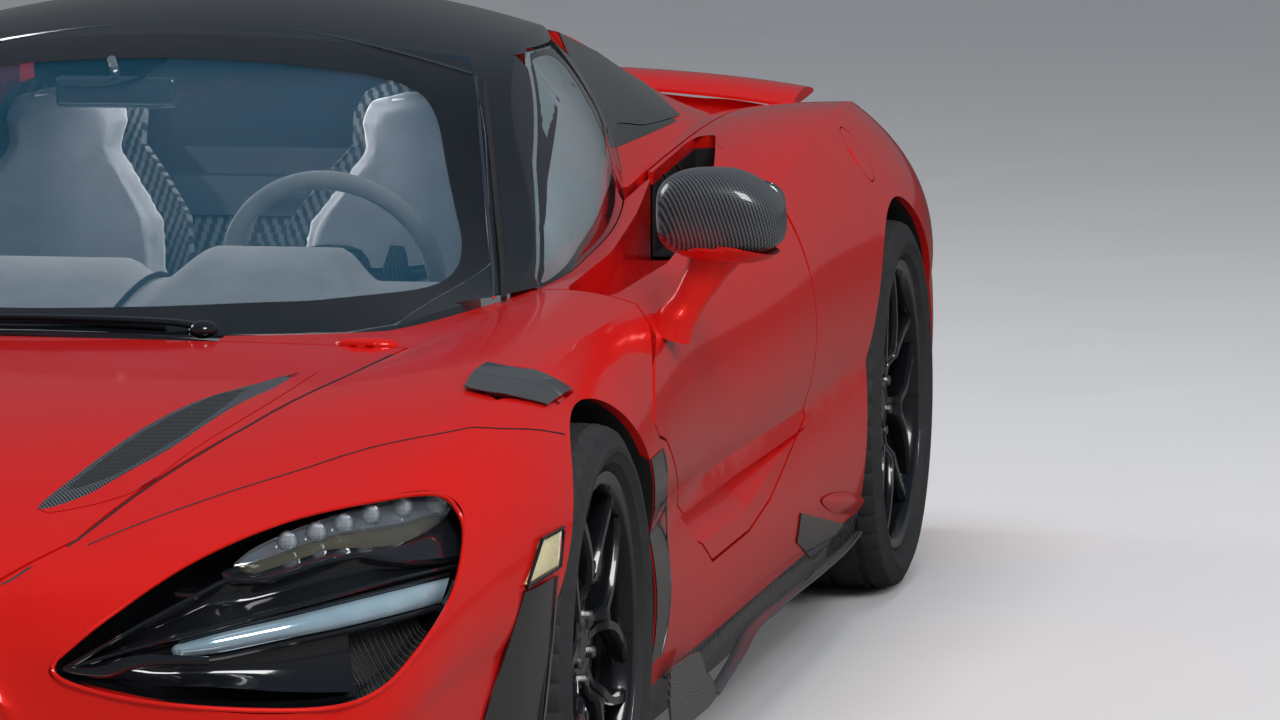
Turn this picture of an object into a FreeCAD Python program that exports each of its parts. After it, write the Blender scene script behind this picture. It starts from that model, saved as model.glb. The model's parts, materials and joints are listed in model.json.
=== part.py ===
"""Mid-engined supercar with a folding hard top, in millimetres.

Frame: +X towards the nose, +Y to the car's left, +Z up. The origin is on the ground,
under the middle of the overall length. Left-hand pieces are built and mirrored.
"""
import FreeCAD
import Part
import math
import os

V = FreeCAD.Vector

# Driving dimensions
HALF_LENGTH = 2300.0
WHEELBASE = 2670.0
FRONT_AXLE_X = 1187.0
REAR_AXLE_X = FRONT_AXLE_X - WHEELBASE
FRONT_WHEEL_Y = 828.0
REAR_WHEEL_Y = 806.0
FRONT_TYRE_R = 327.0
FRONT_TYRE_W = 245.0
FRONT_BEAD_R = 241.3
REAR_TYRE_R = 345.5
REAR_TYRE_W = 305.0
REAR_BEAD_R = 254.0
FLOOR_Z = 110.0
TRAY_T = 8.0
SKIN_T = 22.0
GLASS_T = 6.0
FRAME_T = 34.0
MOVING_GAP = 5.5
FIT_GAP = 0.3
PIN_PLAY = 0.08
FRONT_ARCH_R = 362.0
REAR_ARCH_R = 388.0
LINER_T = 6.0
LINER_Y_IN = 545.0
SEAT_Y = 315.0
SEAT_HALF_W = 212.0
ROOF_FRONT_X = 20.0
HEADER_X = 70.0
PILLAR_FOOT_Z = 700.0
SILL_TOP_Z = 400.0
SILL_T = 8.0
CASING_ROOM = 30.0
WING_TRAVEL = 60.0

# Body sections. Columns: x, then y and z of the lower side, the waist, the upper side,
# the crest, the channel between crest and deck, the deck edge, and z at the middle.
BODY = [
    # x, yb, (ys, zs), (yw, zw), (ym, zm), (yc, zc), (yv, zv), (yh, zh), z0
    (2290, 300, (375, 220), (400, 320), (372, 410), (290, 462), (200, 476), (110, 484), 487),
    (2225, 560, (655, 220), (680, 330), (640, 440), (520, 512), (400, 527), (280, 536), 541),
    (2090, 742, (806, 230), (824, 350), (806, 490), (694, 574), (556, 594), (400, 604), 612),
    (1850, 810, (856, 250), (876, 390), (876, 540), (784, 640), (648, 662), (490, 672), 684),
    (1520, 872, (910, 270), (930, 420), (934, 590), (832, 704), (700, 722), (560, 726), 730),
    (1187, 900, (948, 290), (952, 450), (936, 640), (845, 738), (730, 750), (620, 748), 754),
    (800, 890, (938, 290), (930, 440), (930, 640), (862, 756), (770, 772), (680, 770), 776),
    (250, 890, (930, 280), (906, 450), (912, 660), (866, 772), (800, 792), (720, 798), 806),
    (-350, 890, (932, 280), (912, 450), (926, 680), (872, 802), (790, 822), (690, 836), 850),
    (-900, 895, (938, 290), (930, 460), (934, 700), (856, 862), (760, 880), (640, 880), 892),
    (-1483, 900, (952, 310), (954, 500), (938, 720), (826, 902), (710, 902), (580, 884), 886),
    (-1900, 880, (934, 330), (938, 540), (910, 730), (790, 872), (670, 866), (540, 850), 853),
    (-2270, 780, (846, 360), (858, 560), (826, 710), (730, 790), (620, 793), (500, 790), 793),
]

# Canopy sections. Columns: x, base, flank, pillar ridge, z at the middle.
CANOPY = [
    # x, (yb, zb), (ys, zs), (yr, zr), z0
    (1130, (330, 640), (322, 715), (300, 748), 760),
    (1000, (606, 640), (596, 725), (560, 758), 800),
    (800, (676, 640), (664, 730), (640, 780), 872),
    (600, (722, 650), (713, 742), (688, 804), 944),
    (300, (728, 660), (704, 838), (612, 985), 1056),
    (0, (705, 680), (672, 920), (548, 1106), 1152),
    (-350, (652, 690), (622, 950), (508, 1124), 1193),
    (-700, (592, 700), (560, 930), (452, 1092), 1178),
    (-900, (560, 700), (524, 900), (414, 1050), 1140),
]


def mirrored(shape):
    """The same piece on the car's right-hand side."""
    return shape.mirror(V(0, 0, 0), V(0, 1, 0))


def both(shape):
    """A left-hand piece with its right-hand twin, as two solids that don't touch."""
    return Part.makeCompound([shape, mirrored(shape)])


def box(x0, x1, y0, y1, z0, z1):
    return Part.makeBox(x1 - x0, y1 - y0, z1 - z0, V(x0, y0, z0))


def plan_prism(points, z0, z1):
    """An outline in plan, given as (x, y), pulled up from z0 to z1."""
    ring = [V(x, y, z0) for x, y in points]
    return Part.Face(Part.makePolygon(ring + ring[:1])).extrude(V(0, 0, z1 - z0))


def side_prism(points, y0, y1):
    """An outline in side view, given as (x, z), pulled across from y0 to y1."""
    ring = [V(x, y0, z) for x, z in points]
    return Part.Face(Part.makePolygon(ring + ring[:1])).extrude(V(0, y1 - y0, 0))


def cross_prism(points, x0, x1):
    """An outline across the car, given as (y, z), pulled along from x0 to x1."""
    ring = [V(x0, y, z) for y, z in points]
    return Part.Face(Part.makePolygon(ring + ring[:1])).extrude(V(x1 - x0, 0, 0))


def cylinder_y(x, z, radius, y0, y1):
    return Part.makeCylinder(radius, y1 - y0, V(x, y0, z), V(0, 1, 0))


def tube_between(a, b, radius):
    """A round bar from point a to point b."""
    return Part.makeCylinder(radius, (b - a).Length, a, b - a)


def symmetric_outline(half):
    """A plan outline from its left half, front to rear, mirrored to the right."""
    return half + [(x, -y) for x, y in reversed(half) if y > 0]


def arc(x, a, b, c):
    """The arc through three (y, z) points in the plane at x."""
    return Part.Arc(V(x, *a), V(x, *b), V(x, *c)).toShape()


def across(x, half_arcs, edge, middle_z):
    """Arcs up the left flank, one crown over the top, and the same arcs down the right."""
    up = [arc(x, *three) for three in half_arcs]
    flip = [[(-y, z) for y, z in reversed(three)] for three in reversed(half_arcs)]
    down = [arc(x, *three) for three in flip]
    crown = arc(x, edge, (0, middle_z), (-edge[0], edge[1]))
    start, end = half_arcs[0][0], flip[-1][-1]
    base = Part.LineSegment(V(x, *end), V(x, *start)).toShape()
    return Part.Wire(up + [crown] + down + [base])


def body_solid(inset=0.0, foot=0.0):
    """The lower body's outer form, or one that lies inset mm inside it and foot mm lower."""
    wires = []
    for x, yb, s, w, m, c, v, h, z0 in BODY:
        s, w, m = [(y - inset, z) for y, z in (s, w, m)]
        c = (c[0] - 0.7 * inset, c[1] - 0.7 * inset)
        v, h = [(y, z - inset) for y, z in (v, h)]
        start = (yb - inset, FLOOR_Z - foot)
        arcs = [(start, s, w), (w, m, c), (c, v, h)]
        at = x - math.copysign(inset, x) if abs(x) > 2200 else x
        wires.append(across(at, arcs, h, z0 - inset))
    return Part.makeLoft(wires, True, False)


def canopy_solid(inset=0.0, foot=0.0):
    """The canopy's outer form, or one that lies inset mm inside it and foot mm lower."""
    wires = []
    for x, b, s, r, z0 in CANOPY:
        b = (b[0] - inset, b[1] - foot)
        s = (s[0] - inset, s[1])
        r = (r[0] - 0.8 * inset, r[1] - 0.7 * inset)
        wires.append(across(x, [(b, s, r)], r, z0 - inset))
    return Part.makeLoft(wires, True, False)



def side_face(points, y=0.0):
    """A flat face in side view, from (x, z) points."""
    ring = [V(x, y, z) for x, z in points]
    return Part.Face(Part.makePolygon(ring + ring[:1]))


def front_face(points, x=0.0):
    """A flat face seen from ahead, from (y, z) points."""
    ring = [V(x, y, z) for y, z in points]
    return Part.Face(Part.makePolygon(ring + ring[:1]))


def plan_face(points, z=0.0):
    """A flat face in plan, from (x, y) points."""
    ring = [V(x, y, z) for x, y in points]
    return Part.Face(Part.makePolygon(ring + ring[:1]))


def smooth_ring(points):
    """A flat face inside a smooth closed curve through the given points."""
    curve = Part.BSplineCurve()
    curve.interpolate(points, True)
    return Part.Face(Part.Wire(curve.toShape()))


def fused(shapes):
    """Several touching or crossing pieces as one solid."""
    first, rest = shapes[0], shapes[1:]
    whole = first.multiFuse(rest) if rest else first
    return whole.removeSplitter()


# The two forms everything on the outside is cut from
BODY_FORM = body_solid()
CANOPY_FORM = canopy_solid()
SKIN = BODY_FORM.cut(body_solid(SKIN_T, 60))
INSIDE = body_solid(SKIN_T + FIT_GAP, 60)
ABOVE_BODY = body_solid(-FIT_GAP)
GLASS_SHELL = CANOPY_FORM.cut(canopy_solid(GLASS_T))
FRAME_SHELL = CANOPY_FORM.cut(canopy_solid(FRAME_T))

FRONT_ARCH = cylinder_y(FRONT_AXLE_X, FRONT_TYRE_R, FRONT_ARCH_R, 560, 1100)
REAR_ARCH = cylinder_y(REAR_AXLE_X, REAR_TYRE_R, REAR_ARCH_R, 560, 1100)

# Shut lines. Plan points are (x, y) on the left half, side points are (x, z).
BONNET_LEAN = 0.2
BONNET_EDGE = [(2236, 0, 530), (2229, 150, 530), (2192, 318, 550), (2085, 408, 604),
               (1680, 530, 708), (1400, 588, 735), (1122, 626, 756), (1122, 0, 760)]
BONNET_HINGE = (1121.0, 757.0, 562.0)
TONNEAU_HINGE = (-1509.0, 885.0, 300.0)
BUMPER_LINE = [(2088, 380), (2094, 418), (1958, 539), (1820, 642), (1705, 712), (1603, 773),
               (1543, 831), (1464, 870), (1372, 908), (1290, 945), (1230, 1010)]
DOOR_EDGE = [(590, 960), (590, 726), (775, 641), (822, 612), (800, 588), (740, 575), (590, 490),
             (440, 392), (310, 324), (-8, 326), (-200, 350), (-585, 440), (-585, 960)]
SOCKET_EDGE = [(425, 465), (498, 530), (578, 587), (669, 622), (767, 639), (829, 636),
               (860, 610), (873, 571), (876, 510), (856, 454), (822, 416), (759, 400),
               (614, 409), (485, 431)]
VENT_EDGE = [(2005, 336), (1954, 361), (1778, 428), (1516, 474), (1360, 520), (1593, 514),
             (1828, 464), (1980, 398)]
LOUVRE_EDGE = [(1360, 774), (1226, 776), (1212, 850), (1180, 893), (1293, 891), (1423, 832)]
GLASS_EDGE = [(560, 770), (-345, 770), (-345, 930), (-300, 1060), (-262, 1098), (-60, 1102),
              (14, 1080), (300, 950), (480, 845), (560, 795)]
SCREEN_EDGE = [(1102, 0), (1090, 330), (1030, 500), (960, 574), (800, 600), (600, 640),
               (300, 562), (HEADER_X, 482), (HEADER_X, 0)]
GRILLE_EDGE = [(-520, 170), (520, 170), (470, 290), (-470, 290)]
TAIL_LAMP_EDGE = [(470, 640), (800, 640), (770, 672), (470, 672)]
REAR_MESH_EDGE = [(-430, 420), (430, 420), (700, 600), (-700, 600)]
QUARTER_Y = 646.0
QUARTER_FRONT_X = -470.0
TAIL_X = -2100.0
SKIRT_Z = 195.0
COWL_REAR_X = 885.0
TONNEAU_FRONT_X = -437.0
TONNEAU_REAR_X = -1507.0
HOOP_X = (-432.0, -351.0)
ROOF_EDGE_Z = 1103.0
POST_Y = 300.0
FLAP_CENTRE = V(-1345, 880, 822)
FLAP_R = 56.0
FLAP_NORMAL = V(0, 0.86, 0.51)
STEER_CENTRE = V(300, 310, 765)
STEER_TILT = 20.0
STEER_R = 170.0
STEER_AXIS = V(math.cos(math.radians(STEER_TILT)), 0, -math.sin(math.radians(STEER_TILT)))
KINGPIN_INSET = 18.0
PIPE_Z = 545.0


def bonnet_tool(by=0.0):
    """The bonnet's outline as a leaning prism, so its front edge lifts clear."""
    half = [(x - BONNET_LEAN * (z - 380), y) for x, y, z in BONNET_EDGE]
    face = plan_face(symmetric_outline(half), 380)
    face = grown(face, by) if by else face
    return face.extrude(V(BONNET_LEAN * 440, 0, 440))


def grown(face, by):
    """A flat face whose edge lies by mm outside the first one's."""
    return face.makeOffset2D(by)


def hinge(x, z, y, fixed_way):
    """A small barrel hinge along Y: the fixed lugs with their pin, and the moving lug."""
    lug_r, pin_r, reach = 4.5, 2.0, 13.0
    fixed = [cylinder_y(x, z, pin_r, y - 16, y + 16)]
    for y0, y1 in ((y - 18, y - 7), (y + 7, y + 18)):
        x0, x1 = sorted((x, x + fixed_way * reach))
        fixed += [cylinder_y(x, z, lug_r, y0, y1), box(x0, x1, y0, y1, z - 10, z - 1)]
    x0, x1 = sorted((x, x - fixed_way * reach))
    moving = fused([cylinder_y(x, z, lug_r, y - 6.7, y + 6.7),
                    box(x0, x1, y - 6.7, y + 6.7, z - 10, z - 1)])
    return fused(fixed), moving.cut(cylinder_y(x, z, pin_r + PIN_PLAY, y - 10, y + 10))


def hinge_room(x, z, y):
    """Room round a barrel hinge's two fixed lugs."""
    room = []
    for y0, y1 in ((y - 19, y - 6.8), (y + 6.8, y + 19)):
        room += [cylinder_y(x, z, 6.0, y0, y1), box(x - 16, x + 3, y0, y1, z - 13, z)]
    return fused(room)


def bumper(bonnet_gap):
    """Nose skin with the lamp sockets and the low grille opening."""
    nose = [(2400, 0), (2400, 1010)] + BUMPER_LINE[::-1] + [(2088, 0)]
    shell = SKIN.common(plan_prism(symmetric_outline(nose), 60, 800)).cut(bonnet_gap)
    socket = smooth_ring([V(1640, y, z) for y, z in SOCKET_EDGE]).extrude(V(760, 0, 0))
    grille = cross_prism(GRILLE_EDGE, 2000, 2400)
    cuts = [socket, mirrored(socket), grille, FRONT_ARCH, mirrored(FRONT_ARCH)]
    return shell.cut(Part.makeCompound(cuts))


def headlamp():
    """Bucket behind the socket, whose floor follows the nose further in."""
    face = smooth_ring([V(1640, y, z) for y, z in SOCKET_EDGE])
    block = grown(front_face(SOCKET_EDGE, 1640), 12).extrude(V(800, 0, 0)).common(INSIDE)
    hollow = face.extrude(V(800, 0, 0)).cut(body_solid(SKIN_T + 55, 60))
    keep_out = cylinder_y(FRONT_AXLE_X, FRONT_TYRE_R, FRONT_ARCH_R + LINER_T + 6, 500, 1100)
    core = cross_prism([(500, 420), (860, 420), (860, 560), (500, 470)], 1640, 1900)
    bucket = block.cut(hollow).cut(keep_out).cut(core)
    return max(bucket.Solids, key=lambda solid: solid.Volume)


def front_wing(bonnet_gap, door_gap):
    line = [(x - 0.45, y) for x, y in BUMPER_LINE]
    ring = line + [(380, 1010), (380, 340), (1200, 340)]
    shell = SKIN.common(plan_prism(ring, SKIRT_Z + FIT_GAP, 800))
    shell = shell.cut(canopy_solid(-FIT_GAP)).cut(bonnet_gap).cut(FRONT_ARCH)
    sill = SKIN.common(box(QUARTER_FRONT_X + FIT_GAP, 400, 845, 1010, SKIRT_Z + FIT_GAP, 500))
    mouth = plan_prism(LOUVRE_EDGE, 600, 900)
    shell = fused([shell.cut(mouth), sill]).cut(door_gap).cut(scoop())
    shell = max(shell.Solids, key=lambda solid: solid.Volume)
    blades = body_solid(3).cut(body_solid(7)).common(plan_face(LOUVRE_EDGE, 600).extrude(V(0, 0, 300)))
    strips = [plan_prism([(x, 760), (x + 34, 760), (x - 16, 900), (x - 50, 900)], 600, 900)
              for x in (1272, 1322, 1372)]
    return fused([shell, blades.common(Part.makeCompound(strips))])


def scoop():
    """Wedge-shaped recess low on the flank, deep at its front and fading out rearwards."""
    wires = []
    for top, inner, low in (((552, 990, 441), (500, 868, 408), (296, 990, 306)),
                            ((0, 990, 438), (-10, 866, 408), (-8, 990, 312)),
                            ((-570, 990, 425), (-570, 914, 421), (-570, 990, 412))):
        ring = [V(*top), V(*inner), V(*low)]
        wires.append(Part.makePolygon(ring + ring[:1]))
    return Part.makeLoft(wires, True, True)


def skirt():
    low = SKIN.common(box(-1130, 845, 600, 1010, 60, SKIRT_Z))
    return low.cut(FRONT_ARCH).cut(REAR_ARCH)


def trough(wall=0.0, rows_from=0):
    """Channel between the side glass and the outer shoulder, deeper to the rear."""
    rows = [
        # x, inner y, outer y, depth z
        (655, 775, 830, 768),
        (560, 752, 866, 742),
        (200, 744, 868, 706),
        (-200, 705, 838, 706),
        (-600, 654, 776, 712),
        (-980, 654, 694, 736),
    ]
    wires = []
    for x, y_in, y_out, z in rows[rows_from:]:
        y_in, y_out, z = y_in - wall, y_out + wall, z - wall
        low = y_in + 0.6 * (y_out - y_in)
        ring = [V(x, y_in, z), V(x, low, z), V(x, y_out, 930), V(x, y_in, 930)]
        wires.append(Part.makePolygon(ring + ring[:1]))
    return Part.makeLoft(wires, True, True)


def side_duct(channel):
    """Black intake behind the door, closed at its rear end."""
    outer = trough(5.0, 3).fuse(box(-1000, -970, QUARTER_Y + 1, 702, 726, 900))
    duct = outer.cut(channel).common(INSIDE).common(box(-1010, -612, 600, 900, 690, 900))
    return duct


def door(channel):
    """Solid door with its inner casing above the sill and a slot for the glass."""
    slot = canopy_solid(-2).cut(canopy_solid(GLASS_T + 2))
    slot = slot.common(box(-349, 566, 300, 900, GLASS_EDGE[0][1], 900))
    block = BODY_FORM.common(side_face(DOOR_EDGE, 660).extrude(V(0, 400, 0)))
    block = block.cut(box(-800, 900, 500, 800, 100, SILL_TOP_Z + CASING_ROOM))
    block = block.cut(plan_prism([(-640, 945), (-585, 945), (-505, 600), (-640, 600)], 100, 900))
    block = block.cut(box(789, 900, 500, 812, 500, 800)).cut(wing_room())
    pillar = canopy_solid(-MOVING_GAP).common(box(GLASS_EDGE[0][0] + 4, 900, 0, 900, 300, 900))
    return block.cut(channel).cut(slot).cut(pillar).cut(scoop())


def wing_room():
    """Room behind the front wing's lower edge, which the door's inner face swings past."""
    wires = []
    for x, edge_z in ((588.0, 727.0), (775.0, 641.0), (840.0, 601.0)):
        line_z = edge_z - 1.1 * MOVING_GAP
        section = [(980, line_z), (908, line_z), (822, line_z - 60), (600, line_z - 66), (600, 1000),
                   (980, 1000)]
        ring = [V(x, y, z) for y, z in section]
        wires.append(Part.makePolygon(ring + ring[:1]))
    return Part.makeLoft(wires, True, True)


def door_glass():
    return GLASS_SHELL.common(side_face(GLASS_EDGE, 300).extrude(V(0, 600, 0)))


def mirror_unit():
    """Door mirror: rounded cap on a swept blade that stands on the shoulder."""
    cap = Part.makeSphere(1.0)
    grow = FreeCAD.Matrix()
    grow.scale(V(72, 96, 60))
    cap = cap.transformGeometry(grow)
    cap.translate(V(480, 984, 896))
    cap = cap.cut(box(300, 430, 800, 1200, 700, 1000))
    blade = cross_prism([(868, 700), (930, 700), (1070, 848), (1060, 880), (905, 850),
                         (880, 790)], 448, 512)
    return fused([cap, blade]).cut(ABOVE_BODY)


def quarter(channel, door_gap):
    ring = [(QUARTER_FRONT_X, QUARTER_Y), (QUARTER_FRONT_X, 1010),
            (TAIL_X + FIT_GAP, 1010), (TAIL_X + FIT_GAP, QUARTER_Y)]
    shell = SKIN.common(plan_prism(ring, 60, 1000))
    shell = shell.cut(box(-1130, 0, 600, 1010, 0, SKIRT_Z + FIT_GAP))
    shell = shell.cut(REAR_ARCH).cut(door_gap).cut(channel)
    shell = shell.cut(scoop())
    return max(shell.Solids, key=lambda solid: solid.Volume)


def flap_tool(radius):
    start = FLAP_CENTRE - FLAP_NORMAL * 60
    return Part.makeCylinder(radius, 140, start, FLAP_NORMAL)


def on_body(point, way):
    """Where a line through the point, along way, leaves the body form."""
    inside = BODY_FORM.common(Part.makeLine(point - way * 60, point + way * 60))
    return max((v.Point for v in inside.Vertexes), key=lambda q: q.dot(way))


def fuel_flap():
    """Thin round flap with its hinge lug, and the fixed lugs on the quarter."""
    flap = BODY_FORM.common(flap_tool(FLAP_R)).cut(body_solid(5))
    flap = max(flap.Solids, key=lambda solid: solid.CenterOfMass.z)
    along = FLAP_NORMAL.cross(V(1, 0, 0)).normalize()
    pivot = on_body(FLAP_CENTRE + V(FLAP_R + 3.2, 0, 0), FLAP_NORMAL) - FLAP_NORMAL
    pin = Part.makeCylinder(1.2, 34, pivot - along * 17, along)
    lugs = [Part.makeCylinder(2.8, 12, pivot + along * a, along) for a in (-18, 6)]
    moving = Part.makeCylinder(2.8, 11.4, pivot - along * 5.7, along)
    low, high = pivot - FLAP_NORMAL * 2.4, pivot - FLAP_NORMAL * 0.6
    ring = [low + along * 5.7, low - along * 5.7, high - along * 5.7, high + along * 5.7]
    arm = Part.Face(Part.makePolygon(ring + ring[:1])).extrude(V(-5.5, 0, 0))
    flap = fused([flap, moving, arm]).cut(Part.makeCylinder(1.2 + PIN_PLAY, 16, pivot - along * 8, along))
    notch = Part.makeCylinder(3.6, 11.9, pivot - along * 5.95, along)
    return flap, fused([pin] + lugs), notch


def fascia():
    shell = SKIN.common(box(-2400, TAIL_X, -1010, 1010, 60, 1000))
    lamps = cross_prism(TAIL_LAMP_EDGE, -2400, -2200)
    mesh = cross_prism(REAR_MESH_EDGE, -2400, -2200)
    low = cross_prism([(-560, 60), (560, 60), (480, 330), (-480, 330)], -2400, -2180)
    slide = 0.1
    post = box(-2160 - slide, -2120 + slide, POST_Y - 20 - slide, POST_Y + 20 + slide, 700, 1000)
    return shell.cut(Part.makeCompound([lamps, mirrored(lamps), mesh, low, post, mirrored(post)]))


def rear_deck():
    half = QUARTER_Y - FIT_GAP
    return SKIN.common(box(TAIL_X + FIT_GAP, TONNEAU_REAR_X - 9, -half, half, 600, 1000))


def buttress():
    """Flying fin from the roof's rear corner down to the deck."""
    rows = [
        # x, outer foot (y, z), outer ridge, inner ridge, inner foot
        (TONNEAU_FRONT_X, (632, 846), (520, 1108), (436, 1124), (436, 832)),
        (-800, (634, 862), (512, 1048), (444, 1058), (444, 850)),
        (-1150, (632, 874), (528, 966), (468, 972), (468, 860)),
        (-1500, (604, 876), (560, 892), (500, 893), (500, 866)),
    ]
    wires = []
    for x, foot, ridge, inner, base in rows:
        ring = [V(x, *foot), V(x, *ridge), V(x, *inner), V(x, *base)]
        wires.append(Part.makePolygon(ring + ring[:1]))
    return Part.makeLoft(wires, True, False)


def tonneau():
    """Rear cover: a deck skin with a fin on each side, and the panes in the fins."""
    half = QUARTER_Y - 5
    deck = SKIN.common(box(TONNEAU_REAR_X, TONNEAU_FRONT_X, -half, half, 600, 1000))
    fin = buttress()
    window = side_face([(-520, 905), (-520, 1052), (-980, 965), (-1080, 905)], 380)
    glass = fin.common(grown(window, -FIT_GAP).extrude(V(0, 400, 0)))
    glass = glass.common(box(-1200, -500, 485, 700, 800, 1200))
    glass = max(glass.Solids, key=lambda solid: solid.Volume)
    fin = fin.cut(window.extrude(V(0, 400, 0)))
    return fused([deck, fin, mirrored(fin)]), glass


def screen_parts(bonnet_gap):
    """Windscreen pane and the black frame with pillars and header round it."""
    face = plan_face(symmetric_outline(SCREEN_EDGE), 600)
    pane = GLASS_SHELL.common(grown(face, -FIT_GAP).extrude(V(0, 0, 700))).cut(ABOVE_BODY)
    frame = FRAME_SHELL.common(box(ROOF_FRONT_X + 4, 1140, -900, 900, PILLAR_FOOT_Z, 1300))
    frame = frame.cut(face.extrude(V(0, 0, 700))).cut(bonnet_gap)
    frame = frame.cut(box(0, 803, -900, 900, 600, 784))
    return pane, frame


def roof(glass_gap):
    shell = FRAME_SHELL.common(box(HOOP_X[0], ROOF_FRONT_X + 3.7, -900, 900, ROOF_EDGE_Z, 1300))
    return shell.cut(glass_gap).cut(mirrored(glass_gap))


def hoops(glass_gap):
    """Roll-over posts behind the side glass, joined by a beam under the rear window."""
    post = FRAME_SHELL.common(box(HOOP_X[0], HOOP_X[1], 300, 900, 700, ROOF_EDGE_Z - FIT_GAP))
    post = post.cut(glass_gap)
    beam = box(HOOP_X[0], HOOP_X[0] + 36, -632, 632, 790, 858)
    return fused([beam, post, mirrored(post)])


# Running gear. A wheel's own y' axis runs outwards from its centre plane.
def turned(points, x, y, z):
    """A ring turned about the wheel's axle from (radius, y') points."""
    ring = [V(x, y + across_y, z + r) for r, across_y in points]
    face = Part.Face(Part.makePolygon(ring + ring[:1]))
    return face.revolve(V(x, y, z), V(0, 1, 0), 360)


def tyre(x, y, outer_r, width, bead_r):
    half = width / 2
    seat = half - 24
    z = outer_r

    def at(r, across_y):
        return V(x, y + across_y, z + r)

    flange = bead_r + 19
    edges = [Part.LineSegment(at(bead_r + FIT_GAP, -seat), at(bead_r + FIT_GAP, seat)).toShape()]
    edges.append(Part.LineSegment(at(bead_r + FIT_GAP, seat), at(flange, seat)).toShape())
    side = (outer_r + flange) / 2 - 6
    edges.append(Part.Arc(at(flange, seat), at(side, half), at(outer_r - 13, half - 9)).toShape())
    edges.append(Part.Arc(at(outer_r - 13, half - 9), at(outer_r - 6.5, half - 15),
                          at(outer_r - 4, half - 26)).toShape())
    edges.append(Part.Arc(at(outer_r - 4, half - 26), at(outer_r, 0), at(outer_r - 4, 26 - half)).toShape())
    edges.append(Part.Arc(at(outer_r - 4, 26 - half), at(outer_r - 6.5, 15 - half),
                          at(outer_r - 13, 9 - half)).toShape())
    edges.append(Part.Arc(at(outer_r - 13, 9 - half), at(side, -half), at(flange, -seat)).toShape())
    edges.append(Part.LineSegment(at(flange, -seat), at(bead_r + FIT_GAP, -seat)).toShape())
    return Part.Face(Part.Wire(edges)).revolve(V(x, y, z), V(0, 1, 0), 360)


def wheel(x, y, outer_r, width, bead_r, disc_at):
    """Rim with ten blade spokes in five pairs, its hub and its brake disc."""
    half = width / 2
    seat = half - 24 + FIT_GAP
    lip = seat + 7
    flange = bead_r + 17
    z = outer_r
    barrel = turned([(bead_r, -seat), (bead_r, seat), (flange, seat), (flange, lip),
                     (bead_r - 10, lip), (bead_r - 12, lip - 30), (bead_r - 12, 30 - lip),
                     (bead_r - 10, -lip), (flange, -lip), (flange, -seat)], x, y, z)
    face = lip - 46
    hub = turned([(30.3, disc_at), (30.3, face), (66, face), (82, face - 22), (82, disc_at + 28),
                  (197, disc_at + 28), (197, disc_at), (60, disc_at)], x, y, z)
    spokes = []
    for pair in range(5):
        for side in (-1, 1):
            root_turn = math.radians(72 * pair + side * 11)
            tip_turn = math.radians(72 * pair + side * 20)
            wires = []
            for r, turn, wide, low, high in ((62, root_turn, 17, face - 20, face - 1),
                                             (bead_r - 6, tip_turn, 12, lip - 30, lip - 6)):
                out = V(math.cos(turn), 0, math.sin(turn))
                aside = V(-math.sin(turn), 0, math.cos(turn))
                at = V(x, y, z) + out * r
                ring = [at + aside * wide + V(0, low, 0), at + aside * wide * 0.55 + V(0, high, 0),
                        at - aside * wide * 0.55 + V(0, high, 0), at - aside * wide + V(0, low, 0)]
                wires.append(Part.makePolygon(ring + ring[:1]))
            spokes.append(Part.makeLoft(wires, True, True))
    return fused([barrel, hub] + spokes)


def caliper(x, y, z, disc_at, ahead):
    """Brake caliper over the disc's rim, ahead of or behind the axle."""
    turn = 0 if ahead else 180
    ring = turned([(128, disc_at - 16), (128, disc_at + 40), (205, disc_at + 40),
                   (205, disc_at - 16)], x, y, z)
    wedge = Part.Face(Part.makePolygon([
        V(x, y - 100, z), V(x + 300, y - 100, z - 160), V(x + 300, y - 100, z + 160),
        V(x, y - 100, z)])).extrude(V(0, 300, 0))
    wedge.rotate(V(x, y, z), V(0, 1, 0), turn)
    gap = turned([(100, disc_at - 4), (100, disc_at + 32), (200, disc_at + 32),
                  (200, disc_at - 4)], x, y, z)
    return ring.common(wedge).cut(gap)


def upright(x, y, z, disc_at, axle_to, ahead):
    """Hub carrier with its axle stub, the two ball-joint bosses and the caliper."""
    carrier = cylinder_y(x, z, 54, y - 46, y + disc_at - 6)
    axle = cylinder_y(x, z, 30, y - 46, y + axle_to)
    bar = box(x - 26, x + 26, y - 44, y - 10, z - 132, z + 132)
    bosses = Part.makeCylinder(20, 290, V(x, y - KINGPIN_INSET, z - 145))
    bosses = bosses.cut(Part.makeCylinder(30, 240, V(x, y - KINGPIN_INSET, z - 120)))
    way = 1 if ahead else -1
    x0, x1 = sorted((x + way * 40, x + way * 150))
    bracket = box(x0, x1, y - 26, y + disc_at - 6, z - 40, z + 40)
    body = fused([carrier, axle, bar, bosses, bracket, caliper(x, y, z, disc_at, ahead)])
    pin = Part.makeCylinder(10.3, 400, V(x, y - KINGPIN_INSET, z - 200))
    keep = Part.makeCylinder(12, 232, V(x, y - KINGPIN_INSET, z - 116))
    return body.cut(pin.cut(keep))


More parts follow.
